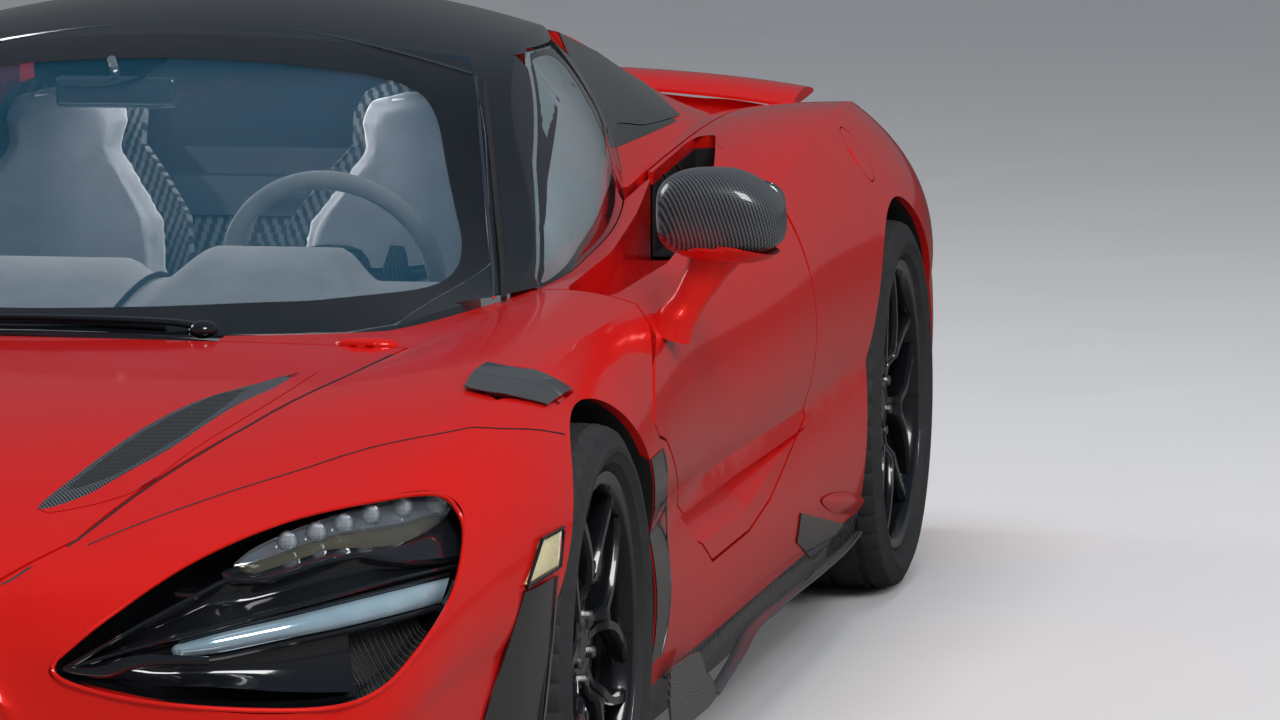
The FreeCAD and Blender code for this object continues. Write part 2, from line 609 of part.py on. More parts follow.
def wishbones(x, y, z, y_in):
    """Two pairs of arms with ball pins, on a mounting rail at their inner ends."""
    pieces = []
    for eye_z, pin_z, inner_z in ((z - 168, z - 146, z - 150), (z + 146, z + 120, z + 130)):
        pieces.append(Part.makeCylinder(18, 22, V(x, y - KINGPIN_INSET, eye_z)))
        pieces.append(Part.makeCylinder(10, 27, V(x, y - KINGPIN_INSET, pin_z)))
        end = V(x, y - KINGPIN_INSET - 6, eye_z + 11)
        for side in (-1, 1):
            pieces.append(tube_between(end, V(x + side * 100, y_in - 20, inner_z), 9))
    rail = box(x - 125, x + 125, 440 + FIT_GAP, y_in - 8, z - 170, z - 120)
    top = box(x - 125, x + 125, y_in - 60, y_in - 8, z + 110, z + 150)
    post = box(x - 20, x + 20, y_in - 60, y_in - 30, z - 130, z + 130)
    return fused(pieces + [rail, top, post])


def liner(x, z, arch_r, y_out, y_in):
    """Wheel-house liner: a half barrel with a partly open inner wall."""
    barrel = cylinder_y(x, z, arch_r + LINER_T, y_in, y_out).cut(
        cylinder_y(x, z, arch_r, y_in + LINER_T, y_out))
    barrel = barrel.cut(box(x - 150, x + 150, y_in - 10, y_in + 20, z - 400, z + 200))
    barrel = barrel.common(box(x - 500, x + 500, y_in, y_out, FLOOR_Z + TRAY_T + 2, 1000))
    return barrel.common(INSIDE)


def tub():
    """Central carbon cell with its sills, bulkheads, rails and the front luggage box."""
    floor = box(HOOP_X[0], 812, -640, 640, 118, 140)
    pieces = [floor]
    for side in (-1, 1):
        y0, y1 = sorted((side * 640, side * 792))
        pieces.append(box(-640, 812, y0, y1, 118, SILL_TOP_Z - SILL_T))
        y0, y1 = sorted((side * 700, side * 750))
        for x in (-150, -20):
            buffer_top = SILL_TOP_Z + CASING_ROOM - FIT_GAP
            pieces.append(box(x - 20, x + 20, y0, y1, SILL_TOP_Z - SILL_T - 2, buffer_top))
        y0, y1 = sorted((side * 400, side * 440))
        pieces.append(box(812, 1985, y0, y1, 200, 262))
        pieces.append(box(-1880, -430, y0, y1, 170, 232))
        pieces.append(box(800, 812, min(side * 540, side * 790), max(side * 540, side * 790), 118, 660))
        for x in (640, -560):
            pieces.append(Part.makeCylinder(30, 22, V(x, side * 700, 96.5)))
    pieces.append(box(800, 830, -540, 540, 118, PILLAR_FOOT_Z - FIT_GAP))
    pieces.append(box(HOOP_X[0], HOOP_X[0] + 30, -640, 640, 118, 690))
    pieces.append(box(HOOP_X[0], HOOP_X[0] + 30, -600, 600, 600, 789.7))
    pieces.append(box(-400, 800, -90, 90, 140, 330))
    pieces.append(box(1985, 2025, -600, 600, 190, 330))
    box_out = box(1260, 1890, -330, 330, 190, 600)
    pieces.append(box_out.cut(box(1268, 1882, -322, 322, 198, 700)))
    pieces.append(box(1300, 1340, 325, 405, 200, 230))
    pieces.append(box(1300, 1340, -405, -325, 200, 230))
    pieces.append(box(830, 930, -640, 640, 660, PILLAR_FOOT_Z - FIT_GAP))
    return fused(pieces)


def undertray():
    half = [(1590, 0), (1590, 800), (830, 800), (-1080, 800), (-1080, 780), (-1885.7, 780),
            (-1885.7, 0)]
    plate = plan_prism(symmetric_outline(half), FLOOR_Z, FLOOR_Z + TRAY_T - FIT_GAP)
    cuts = []
    for side in (-1, 1):
        y0, y1 = sorted((side * 538, side * 900))
        cuts.append(box(FRONT_AXLE_X - 380, FRONT_AXLE_X + 380, y0, y1, 0, 300))
        cuts.append(box(REAR_AXLE_X - 404, REAR_AXLE_X + 404, y0, y1, 0, 300))
        for x in (640, -560):
            cuts.append(Part.makeCylinder(34, 40, V(x, side * 700, 90)))
    return plate.cut(Part.makeCompound(cuts))


def splitter():
    half = [(HALF_LENGTH, 0), (2298, 240), (2262, 470), (2180, 650), (2040, 780), (1800, 866),
            (1600, 880), (1600, 0)]
    return plan_prism(symmetric_outline(half), 92, FLOOR_Z - FIT_GAP).cut(
        Part.makeCompound([FRONT_ARCH, mirrored(FRONT_ARCH)]))


def diffuser():
    plate = side_prism([(-1886, 110), (-1886, 118), (-2285, 318), (-2288, 308)], -470, 470)
    fins = []
    for y in (-400, -200, 0, 200, 400):
        fins.append(side_prism([(-1930, 138), (-2285, 312), (-2285, 190), (-1930, 112)], y - 4, y + 4))
    return fused([plate] + fins)


def dashboard():
    profile = [(880, 700), (880, 728), (740, 762), (560, 780), (470, 762), (452, 700), (520, 610),
               (700, 560), (798, 560), (798, 700)]
    top = side_prism(profile, -590, 590)
    console = side_prism([(560, 330.3), (560, 640), (500, 620), (380, 470), (-330, 400),
                          (-330, 330.3)], -78, 78)
    start = STEER_CENTRE + STEER_AXIS * 30
    column = Part.makeCylinder(30, 190, start, STEER_AXIS)
    pin = Part.makeCylinder(12, 60, STEER_CENTRE - STEER_AXIS * 10, STEER_AXIS)
    return fused([top, console, column, pin])


def steering_wheel():
    rim = Part.makeTorus(STEER_R, 15, STEER_CENTRE, STEER_AXIS)
    hub = Part.makeCylinder(46, 44, STEER_CENTRE - STEER_AXIS * 20, STEER_AXIS)
    across_dir = V(0, 1, 0)
    down = STEER_AXIS.cross(across_dir)
    spokes = [tube_between(STEER_CENTRE, STEER_CENTRE + d * (STEER_R - 2), 11)
              for d in (across_dir, -across_dir, down if down.z < 0 else -down)]
    bore = Part.makeCylinder(12.3, 40, STEER_CENTRE - STEER_AXIS * 11, STEER_AXIS)
    return fused([rim, hub] + spokes).cut(bore)


def seat(y):
    """Bucket seat from its side profile."""
    profile = [(330, 140.3), (360, 280), (280, 310), (-60, 270), (-150, 300), (-345, 1020),
               (-385, 1030), (-398, 1000), (-260, 300), (-230, 140.3)]
    return side_prism(profile, y - SEAT_HALF_W, y + SEAT_HALF_W)


def engine():
    block = box(-1430, -640, -250, 250, 235, 560)
    heads = [box(-1380, -700, min(s * 120, s * 330), max(s * 120, s * 330), 480, 640) for s in (-1, 1)]
    plenum = box(-1330, -760, -110, 110, 560, 720)
    gearbox = box(-1960, -1430, -170, 170, 235, 470)
    bearer = box(-1100, -1040, -441, 441, 232 + FIT_GAP, 262)
    return fused([block, plenum, gearbox, bearer] + heads)


def rear_wing():
    """Lifting tail wing on two posts."""
    wires = []
    for y, rise in ((-640, 0), (-420, 26), (0, 40), (420, 26), (640, 0)):
        z = 852 + rise
        lead, tail = V(-2050, y, z + 4), V(-2290, y, z + 18)
        upper = Part.Arc(lead, V(-2110, y, z + 20), tail).toShape()
        back = Part.LineSegment(tail, tail - V(0, 0, 6)).toShape()
        lower = Part.Arc(tail - V(0, 0, 6), V(-2110, y, z + 1), lead - V(0, 0, 6)).toShape()
        nose = Part.LineSegment(lead - V(0, 0, 6), lead).toShape()
        wires.append(Part.Wire([upper, back, lower, nose]))
    blade = Part.makeLoft(wires, True, False)
    post = box(-2160, -2120, POST_Y - 20, POST_Y + 20, 720, 888)
    return fused([blade, post, mirrored(post)])


def exhaust():
    pipes = []
    for side in (-1, 1):
        y = side * 150
        pipe = Part.makeCylinder(48, 340, V(-2300, y, PIPE_Z), V(1, 0, 0))
        pipes.append(pipe.cut(Part.makeCylinder(43, 300, V(-2310, y, PIPE_Z), V(1, 0, 0))))
    can = box(-2100, -1970, -330, 330, 480, 640)
    bracket = box(-1990, -1900, -60, 60, 470 + FIT_GAP, 500)
    return fused(pipes + [can, bracket])


def parts():
    """Every node's shape by name."""
    bonnet_gap = bonnet_tool(MOVING_GAP)
    door_gap = grown(side_face(DOOR_EDGE, 500), MOVING_GAP).extrude(V(0, 700, 0))
    glass_gap = grown(side_face(GLASS_EDGE, 300), MOVING_GAP).extrude(V(0, 600, 0))
    channel = trough()
    pair = {}
    single = {}
    bonnet_fixed, bonnet_lug = hinge(*BONNET_HINGE, -1)
    vent = smooth_ring([V(x, y, 500) for x, y in VENT_EDGE]).extrude(V(0, 0, 400))
    panel = SKIN.common(bonnet_tool()).cut(hinge_room(*BONNET_HINGE))
    panel = panel.cut(Part.makeCompound([vent, mirrored(vent), mirrored(hinge_room(*BONNET_HINGE))]))
    single["bonnet"] = fused([panel, bonnet_lug, mirrored(bonnet_lug)])
    single["front_bumper"] = bumper(bonnet_gap)
    pair["headlamp"] = headlamp()
    pair["front_wing"] = fused([front_wing(bonnet_gap, door_gap), bonnet_fixed])
    single["side_skirts"] = both(skirt())
    single["side_ducts"] = both(side_duct(channel))
    pair["door"] = door(channel)
    pair["door_glass"] = door_glass()
    pair["mirror"] = mirror_unit()
    rear = quarter(channel, door_gap)
    single["rear_quarter_right"] = mirrored(rear)
    single["fuel_flap"], flap_lugs, notch = fuel_flap()
    holed = rear.cut(flap_tool(FLAP_R + 3)).cut(notch)
    single["rear_quarter_left"] = fused([holed, flap_lugs])
    single["rear_fascia"] = fascia()
    deck_lug, cover_lug = hinge(*TONNEAU_HINGE, -1)
    single["rear_deck"] = fused([rear_deck(), deck_lug, mirrored(deck_lug)])
    cover, fin_glass = tonneau()
    room = hinge_room(*TONNEAU_HINGE)
    cover = cover.cut(room).cut(mirrored(room))
    single["tonneau_cover"] = fused([cover, cover_lug, mirrored(cover_lug)])
    single["buttress_glass"] = both(fin_glass)
    single["windscreen"], frame = screen_parts(bonnet_gap)
    frame = frame.cut(glass_gap).cut(mirrored(glass_gap))
    single["screen_frame"] = max(frame.Solids, key=lambda solid: solid.Volume)
    single["roof_panel"] = roof(glass_gap)
    single["roll_hoops"] = hoops(glass_gap)
    single["rear_window"] = box(-424, -418, -400, 400, 858 + FIT_GAP, 1104)
    lamp = grown(front_face(TAIL_LAMP_EDGE, -2266), -FIT_GAP).extrude(V(30, 0, 0))
    single["tail_lamps"] = both(lamp)
    mesh = grown(front_face(REAR_MESH_EDGE, -2262), -FIT_GAP).extrude(V(8, 0, 0))
    pipe_hole = Part.makeCylinder(48 + FIT_GAP, 60, V(-2290, 150, PIPE_Z), V(1, 0, 0))
    single["rear_mesh"] = mesh.cut(pipe_hole).cut(mirrored(pipe_hole))
    single["front_grille"] = fused([
        grown(front_face(GRILLE_EDGE, 2195), 14).extrude(V(8, 0, 0)),
        box(2025.3, 2195, -320, -300, 220, 240), box(2025.3, 2195, 300, 320, 220, 240)])
    single["tub"] = tub()
    single["undertray"] = undertray()
    single["front_splitter"] = splitter()
    single["diffuser"] = diffuser()
    single["dashboard"] = dashboard()
    single["steering_wheel"] = steering_wheel()
    single["seats"] = Part.makeCompound([seat(SEAT_Y), seat(-SEAT_Y)])
    single["engine"] = engine()
    single["exhaust"] = exhaust()
    single["rear_wing"] = rear_wing()
    front = (FRONT_AXLE_X, FRONT_WHEEL_Y, FRONT_TYRE_R)
    back = (REAR_AXLE_X, REAR_WHEEL_Y, REAR_TYRE_R)
    front_liner = liner(front[0], front[2], FRONT_ARCH_R, 868, LINER_Y_IN)
    rear_liner = liner(back[0], back[2], REAR_ARCH_R, 896, LINER_Y_IN)
    single["arch_liners"] = Part.makeCompound([front_liner, mirrored(front_liner), rear_liner,
                                               mirrored(rear_liner)])
    arms = wishbones(*front, 545)
    single["front_suspension"] = both(arms)
    rear_arms = wishbones(*back, 545)
    rear_up = upright(*back, 10, 60, True)
    shaft = cylinder_y(back[0], back[2], 16, 172, back[1] - 46)
    rear_side = fused([rear_arms, rear_up, shaft])
    single["rear_suspension"] = both(rear_side)
    knuckle = upright(*front, 8, 48, False)
    single["knuckle_left"] = knuckle
    single["knuckle_right"] = mirrored(knuckle)
    for end, spec in (("f", (front, FRONT_TYRE_W, FRONT_BEAD_R, 8)),
                      ("r", (back, REAR_TYRE_W, REAR_BEAD_R, 10))):
        (x, y, z), width, bead, disc_at = spec
        ring = tyre(x, y, z, width, bead)
        rim = wheel(x, y, z, width, bead, disc_at)
        single["tyre_%sl" % end] = ring
        single["tyre_%sr" % end] = mirrored(ring)
        single["wheel_%sl" % end] = rim
        single["wheel_%sr" % end] = mirrored(rim)
    for name, shape in pair.items():
        single[name + "_left"] = shape
        single[name + "_right"] = mirrored(shape)
    return single


def main():
    os.makedirs("parts", exist_ok=True)
    for old in os.listdir("parts"):
        os.remove("parts/" + old)
    for name, shape in sorted(parts().items()):
        print(name, shape.isValid(), len(shape.Solids), round(shape.Volume / 1e6, 2))
        shape.exportStep("parts/%s.step" % name)


main()
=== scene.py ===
import bpy
import bmesh
import json
import math
from mathutils import Matrix, Vector
from mathutils.bvhtree import BVHTree


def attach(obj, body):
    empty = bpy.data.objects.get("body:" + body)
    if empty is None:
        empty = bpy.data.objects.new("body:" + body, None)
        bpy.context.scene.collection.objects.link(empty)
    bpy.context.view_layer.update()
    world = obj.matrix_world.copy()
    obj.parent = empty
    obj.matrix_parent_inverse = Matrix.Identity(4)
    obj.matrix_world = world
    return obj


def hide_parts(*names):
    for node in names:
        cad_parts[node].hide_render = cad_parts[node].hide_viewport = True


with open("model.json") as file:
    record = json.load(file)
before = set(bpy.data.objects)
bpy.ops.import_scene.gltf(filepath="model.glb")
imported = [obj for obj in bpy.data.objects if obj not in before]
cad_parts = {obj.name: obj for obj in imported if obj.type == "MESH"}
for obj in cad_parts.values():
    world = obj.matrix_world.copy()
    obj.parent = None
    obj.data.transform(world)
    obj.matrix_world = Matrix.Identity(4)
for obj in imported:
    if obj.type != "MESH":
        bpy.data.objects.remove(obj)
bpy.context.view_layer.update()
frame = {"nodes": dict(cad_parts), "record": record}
nodes = frame["nodes"]
record = frame["record"]
BODY_OF = {n: body for body, names in record["behaviour"]["bodies"].items() for n in names}
SLOT_OF = {row["node"]: row["material_slot"] for row in record["subparts"]}

# Camera, and the way it looks at the nose
CAMERA_AT = (10.056, 2.793, 1.850)
YAW, PITCH, ROLL = 3.342, -0.121, -0.004
LENS = 177.2
INWARD = Vector((-0.954, -0.254, -0.160))


# Tables of points are in millimetres, everything else is in metres.
def mm(rows):
    return [Vector(row) / 1000 for row in rows]


def along(points, t, closed=False, straight=False):
    """The point at t, from 0 to 1, on a curve through the points."""
    count = len(points)
    spans = count if closed else count - 1
    place = min(max(t, 0.0), 1.0) * spans
    first = min(int(place), spans - 1)
    part = place - first

    def point(k):
        return points[k % count] if closed else points[min(max(k, 0), count - 1)]

    a, b, c, d = (point(first + k) for k in (-1, 0, 1, 2))
    if straight:
        return b.lerp(c, part)
    return 0.5 * (2 * b + (c - a) * part + (2 * a - 5 * b + 4 * c - d) * part ** 2
                  + (3 * b - a - 3 * c + d) * part ** 3)


def table(rows, t):
    """A number read off a table of numbers at t, from 0 to 1."""
    place = min(max(t, 0.0), 1.0) * (len(rows) - 1)
    first = min(int(place), len(rows) - 2)
    part = place - first
    part = part * part * (3 - 2 * part)
    return rows[first] + (rows[first + 1] - rows[first]) * part


def surface(place, nu, nv):
    """A grid whose points lie at place(u, v), welded where its edges meet."""
    bm = bmesh.new()
    bmesh.ops.create_grid(bm, x_segments=nu, y_segments=nv, size=1.0)
    reach = max(v.co.x for v in bm.verts)
    for v in bm.verts:
        v.co = place(v.co.x / reach / 2 + 0.5, v.co.y / reach / 2 + 0.5)
    bmesh.ops.remove_doubles(bm, verts=bm.verts, dist=2e-5)
    bmesh.ops.recalc_face_normals(bm, faces=bm.faces)
    return bm


def thick(bm, depth):
    bmesh.ops.solidify(bm, geom=bm.faces[:], thickness=depth)
    bmesh.ops.recalc_face_normals(bm, faces=bm.faces)
    return bm


def rod(points, radius, sides=10, steps=24, closed=False, flat=1.0, up=Vector((0, 0, 1)), straight=False):
    """A rod along a curve. Its radius may be a table, and flat squeezes it along up."""
    radii = radius if isinstance(radius, (list, tuple)) else [radius, radius]
    rows = steps if closed else steps + 2

    def place(u, v):
        row = round(v * rows)
        t = v if closed else min(max((row - 1) / steps, 0), 1)
        size = 0.0 if not closed and row in (0, rows) else table(radii, t)
        at = along(points, t, closed, straight)
        gap = 0.5 / steps
        before, after = t - gap, t + gap
        if closed:
            before, after = before % 1, after % 1
        way = (along(points, after, closed, straight) - along(points, before, closed, straight)).normalized()
        side = way.cross(up)
        side = side.normalized() if side.length > 1e-4 else Vector((1, 0, 0))
        rise = side.cross(way).normalized()
        turn = 2 * math.pi * u
        return at + side * (size * math.cos(turn)) + rise * (size * flat * math.sin(turn))

    return surface(place, sides, rows)


def spun(profile, sides=96):
    """A closed ring turned about Y from (radius, along Y) points in metres."""
    def place(u, v):
        r, y = along(profile, v, True, True)[:2]
        turn = 2 * math.pi * u
        return Vector((r * math.cos(turn), y, r * math.sin(turn)))
    return surface(place, sides, len(profile))


def ball(centre, size, boxy=1.0, sides=32, rows=20):
    """A rounded form: an ellipsoid when boxy is 1, squarer when it is less."""
    def pull(value):
        return math.copysign(abs(value) ** boxy, value)

    def place(u, v):
        turn, tip = 2 * math.pi * u, math.pi * (v - 0.5)
        return Vector(centre) + Vector((size[0] * pull(math.cos(tip)) * pull(math.cos(turn)),
                                        size[1] * pull(math.cos(tip)) * pull(math.sin(turn)),
                                        size[2] * pull(math.sin(tip))))
    return surface(place, sides, rows)


def block(centre, size, soft=0.004, steps=3):
    """A box with rounded edges."""
    bm = bmesh.new()
    bmesh.ops.create_cube(bm, size=1.0)
    bmesh.ops.scale(bm, vec=size, verts=bm.verts)
    bmesh.ops.bevel(bm, geom=bm.edges[:], offset=soft, offset_type="OFFSET", segments=steps, profile=0.5,
                    affect="EDGES", material=-1)
    bmesh.ops.translate(bm, vec=centre, verts=bm.verts)
    return bm


def plate(outline, depth):
    """A flat plate from a ring of points, depth is a vector."""
    bm = bmesh.new()
    bmesh.ops.create_circle(bm, cap_ends=True, segments=len(outline), radius=1.0)
    for v, point in zip(sorted(bm.verts, key=lambda v: math.atan2(-v.co.x, -v.co.y)), outline):
        v.co = point
    made = bmesh.ops.extrude_face_region(bm, geom=bm.faces[:])["geom"]
    bmesh.ops.translate(bm, vec=depth, verts=[g for g in made if isinstance(g, bmesh.types.BMVert)])
    bmesh.ops.recalc_face_normals(bm, faces=bm.faces)
    return bm


def merged(*forms):
    whole = bmesh.new()
    for bm in forms:
        mesh = bpy.data.meshes.new("part")
        bm.to_mesh(mesh)
        bm.free()
        whole.from_mesh(mesh)
        bpy.data.meshes.remove(mesh)
    return whole


def flipped(bm):
    """A copy of the form on the car's other side."""
    copy = bm.copy()
    bmesh.ops.scale(copy, vec=(1, -1, 1), verts=copy.verts)
    bmesh.ops.reverse_faces(copy, faces=copy.faces)
    return copy


def both(bm):
    other = flipped(bm)
    return merged(bm, other)


def sided(bm, side):
    return bm if side > 0 else flipped(bm)


def hand_of(side):
    return "left" if side > 0 else "right"


def moved(bm, to):
    bmesh.ops.translate(bm, vec=to, verts=bm.verts)
    return bm


def piece(name, bm, material, body, replaces=(), crease=35.0):
    """A finished piece on its body, with its material slot."""
    mesh = bpy.data.meshes.new(name)
    bm.to_mesh(mesh)
    bm.free()
    for face in mesh.polygons:
        face.use_smooth = True
    mesh.set_sharp_from_angle(angle=math.radians(crease))
    mesh.materials.append(material)
    o = bpy.data.objects.new(name, mesh)
    bpy.context.scene.collection.objects.link(o)
    if replaces:
        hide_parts(*replaces)
    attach(o, body)
    return o


def target(*names):
    """What rays are cast on: the CAD meshes of these nodes."""
    whole = bmesh.new()
    for name in names:
        mesh = nodes[name].data.copy()
        mesh.transform(nodes[name].matrix_world)
        whole.from_mesh(mesh)
        bpy.data.meshes.remove(mesh)
    tree = BVHTree.FromBMesh(whole)
    whole.free()
    return tree


def onto(tree, start, way, lift=0.0006):
    """The point where a ray first meets the target, a little proud of it."""
    hit = tree.ray_cast(start, way)[0]
    if hit is None:
        hit = tree.find_nearest(start + way * 0.6)[0]
    return hit - way * lift


def near_onto(tree, point, way, lift=0.0006):
    """Like onto, for a point that already lies close to the target."""
    hit = tree.ray_cast(point - way * 0.3, way, 0.6)[0]
    if hit is None or (hit - point).length > 0.020:
        hit = tree.find_nearest(point)[0]
    return hit - way * lift


# Materials
def grain_group():
    """Soft drift and fine grain, both from 0 to 1, over the object's own space."""
    group = bpy.data.node_groups.new("grain", "ShaderNodeTree")
    group.interface.new_socket("Scale", in_out="INPUT", socket_type="NodeSocketFloat")
    group.interface.new_socket("Soft", in_out="OUTPUT", socket_type="NodeSocketFloat")
    group.interface.new_socket("Fine", in_out="OUTPUT", socket_type="NodeSocketFloat")
    take, give = group.nodes.new("NodeGroupInput"), group.nodes.new("NodeGroupOutput")
    space = group.nodes.new("ShaderNodeTexCoord")
    times = group.nodes.new("ShaderNodeMath")
    times.operation = "MULTIPLY"
    times.inputs[1].default_value = 24.0
    group.links.new(take.outputs["Scale"], times.inputs[0])
    for name, scale in (("Soft", take.outputs["Scale"]), ("Fine", times.outputs[0])):
        noise = group.nodes.new("ShaderNodeTexNoise")
        noise.inputs["Detail"].default_value = 3.0
        group.links.new(space.outputs["Object"], noise.inputs["Vector"])
        group.links.new(scale, noise.inputs["Scale"])
        group.links.new(noise.outputs[0], give.inputs[name])
    return group


def weave_group():
    """Two-over-two twill: a mask of the tows, and their height."""
    group = bpy.data.node_groups.new("twill", "ShaderNodeTree")
    group.interface.new_socket("Tows per metre", in_out="INPUT", socket_type="NodeSocketFloat")
    group.interface.new_socket("Tow", in_out="OUTPUT", socket_type="NodeSocketFloat")
    group.interface.new_socket("Height", in_out="OUTPUT", socket_type="NodeSocketFloat")
    take, give = group.nodes.new("NodeGroupInput"), group.nodes.new("NodeGroupOutput")
    space = group.nodes.new("ShaderNodeTexCoord")
    split = group.nodes.new("ShaderNodeSeparateXYZ")
    group.links.new(space.outputs["Object"], split.inputs[0])

    def maths(how, a, b=None):
        node = group.nodes.new("ShaderNodeMath")
        node.operation = how
        for socket, value in ((node.inputs[0], a), (node.inputs[1], b)):
            if value is None:
                continue
            if isinstance(value, (int, float)):
                socket.default_value = value
            else:
                group.links.new(value, socket)
        return node.outputs[0]

    x, y, z = split.outputs[0], split.outputs[1], split.outputs[2]
    size = take.outputs["Tows per metre"]
    warp = maths("MULTIPLY", maths("ADD", maths("ABSOLUTE", y), maths("MULTIPLY", x, -0.5)), size)
    weft = maths("MULTIPLY", maths("ADD", z, maths("MULTIPLY", x, -0.6)), maths("MULTIPLY", size, 0.35))
    step = maths("ADD", maths("FLOOR", warp), maths("FLOOR", weft))
    tow = maths("LESS_THAN", maths("FLOORED_MODULO", step, 4.0), 2.0)
    bulge = maths("MULTIPLY", maths("ABSOLUTE", maths("SINE", maths("MULTIPLY", warp, math.pi))),
                  maths("ABSOLUTE", maths("SINE", maths("MULTIPLY", weft, math.pi))))
    group.links.new(tow, give.inputs["Tow"])
    group.links.new(bulge, give.inputs["Height"])
    return group


GRAIN = grain_group()
TWILL = weave_group()


def group_node(tree, group, value):
    node = tree.nodes.new("ShaderNodeGroup")
    node.node_tree = group
    node.inputs[0].default_value = value
    return node


def mixed(tree, factor, low, high):
    """A colour between low and high. Either may be a socket."""
    node = tree.nodes.new("ShaderNodeMix")
    node.data_type = "RGBA"
    tree.links.new(factor, node.inputs[0])
    for socket, colour in ((node.inputs[6], low), (node.inputs[7], high)):
        if isinstance(colour, tuple):
            socket.default_value = (*colour, 1.0)
        else:
            tree.links.new(colour, socket)
    return node.outputs[2]


def ranged(tree, value, low, high):
    node = tree.nodes.new("ShaderNodeMapRange")
    node.inputs["To Min"].default_value = low
    node.inputs["To Max"].default_value = high
    tree.links.new(value, node.inputs["Value"])
    return node.outputs[0]


def bumped(tree, shader, height, depth):
    node = tree.nodes.new("ShaderNodeBump")
    node.inputs["Distance"].default_value = depth
    node.inputs["Strength"].default_value = 0.6
    tree.links.new(height, node.inputs["Height"])
    tree.links.new(node.outputs[0], shader.inputs["Normal"])


def started(name, sockets):
    m = bpy.data.materials.new(name)
    m.use_nodes = True
    shader = m.node_tree.nodes["Principled BSDF"]
    for key, value in sockets.items():
        shader.inputs[key.replace("_", " ")].default_value = value
    return m, m.node_tree, shader


def finish_of(name, low, high, rough, scale=30.0, spread=0.05, bump=0.0, **sockets):
    """A surface whose colour and gloss drift a little, with its grain in the normal."""
    m, tree, shader = started(name, sockets)
    grain = group_node(tree, GRAIN, scale)
    tree.links.new(mixed(tree, grain.outputs["Soft"], low, high), shader.inputs["Base Color"])
    tree.links.new(ranged(tree, grain.outputs["Fine"], max(rough - spread, 0.0), rough + spread),
                   shader.inputs["Roughness"])
    if bump:
        bumped(tree, shader, grain.outputs["Fine"], bump)
    return m


def paint():
    """Bright red under clear lacquer, deeper where it turns away."""
    m, tree, shader = started("paint_red", {"Coat_Weight": 0.9, "Coat_Roughness": 0.07, "Metallic": 0.25,
                                            "Specular_IOR_Level": 0.1})
    grain = group_node(tree, GRAIN, 6.0)
    facing = mixed(tree, grain.outputs["Soft"], (0.70, 0.010, 0.006), (0.78, 0.016, 0.008))
    weight = tree.nodes.new("ShaderNodeLayerWeight")
    weight.inputs["Blend"].default_value = 0.30
    tree.links.new(mixed(tree, weight.outputs["Facing"], facing, (0.58, 0.006, 0.008)), shader.inputs["Base Color"])
    tree.links.new(ranged(tree, grain.outputs["Fine"], 0.30, 0.38), shader.inputs["Roughness"])
    return m


def carbon(name, tows, low=(0.008, 0.009, 0.010), high=(0.075, 0.080, 0.086)):
    m, tree, shader = started(name, {"Coat_Weight": 1.0, "Coat_Roughness": 0.04})
    weave = group_node(tree, TWILL, tows)
    tree.links.new(mixed(tree, weave.outputs["Tow"], low, high), shader.inputs["Base Color"])
    tree.links.new(ranged(tree, weave.outputs["Tow"], 0.28, 0.5), shader.inputs["Roughness"])
    bumped(tree, shader, weave.outputs["Height"], 0.0002)
    return m


PANE_ROUGH = 0.015


def pane(name, low, high, clear, edge):
    """Tinted glass that lets light through its face and shows more of its colour towards its rim; on the windscreen
    and side panes that colour is partly a painted sky reflection.
    """
    m, tree, shader = started(name, {"Coat_Weight": 1.0, "Coat_Roughness": 0.01, "IOR": 1.52})
    grain = group_node(tree, GRAIN, 3.0)
    tree.links.new(mixed(tree, grain.outputs["Soft"], low, high), shader.inputs["Base Color"])
    tree.links.new(ranged(tree, grain.outputs["Fine"], PANE_ROUGH, PANE_ROUGH + 0.01), shader.inputs["Roughness"])
    weight = tree.nodes.new("ShaderNodeLayerWeight")
    weight.inputs["Blend"].default_value = 0.35
    # Opacity rises towards the rim, so the painted colour shows most there.
    tree.links.new(ranged(tree, weight.outputs["Facing"], clear, edge), shader.inputs["Alpha"])
    return m


SUEDE_GRAIN = 18.0


def meshwork(name, holes, low, high):
    """Black grille cloth: satin webs, with painted shade darkening the holes between them."""
    m, tree, shader = started(name, {"Coat_Weight": 0.3})
    space = tree.nodes.new("ShaderNodeTexCoord")
    cells = tree.nodes.new("ShaderNodeTexVoronoi")
    cells.inputs["Scale"].default_value = holes
    cells.inputs["Randomness"].default_value = 0.15
    tree.links.new(space.outputs["Object"], cells.inputs["Vector"])
    # Darker towards each hole's centre: painted shade in the holes.
    web_and_hole_shade = ranged(tree, cells.outputs["Distance"], 0.0, 1.6)
    tree.links.new(mixed(tree, web_and_hole_shade, low, high), shader.inputs["Base Color"])
    tree.links.new(ranged(tree, cells.outputs["Distance"], 0.7, 0.35), shader.inputs["Roughness"])
    bumped(tree, shader, cells.outputs["Distance"], 0.002)
    return m


def suede(name, low, high):
    m, tree, shader = started(name, {"Sheen_Weight": 0.5, "Sheen_Roughness": 0.4})
    grain = group_node(tree, GRAIN, SUEDE_GRAIN)
    tree.links.new(mixed(tree, grain.outputs["Soft"], low, high), shader.inputs["Base Color"])
    tree.links.new(ranged(tree, grain.outputs["Fine"], 0.85, 1.0), shader.inputs["Roughness"])
    bumped(tree, shader, grain.outputs["Fine"], 0.0012)
    return m


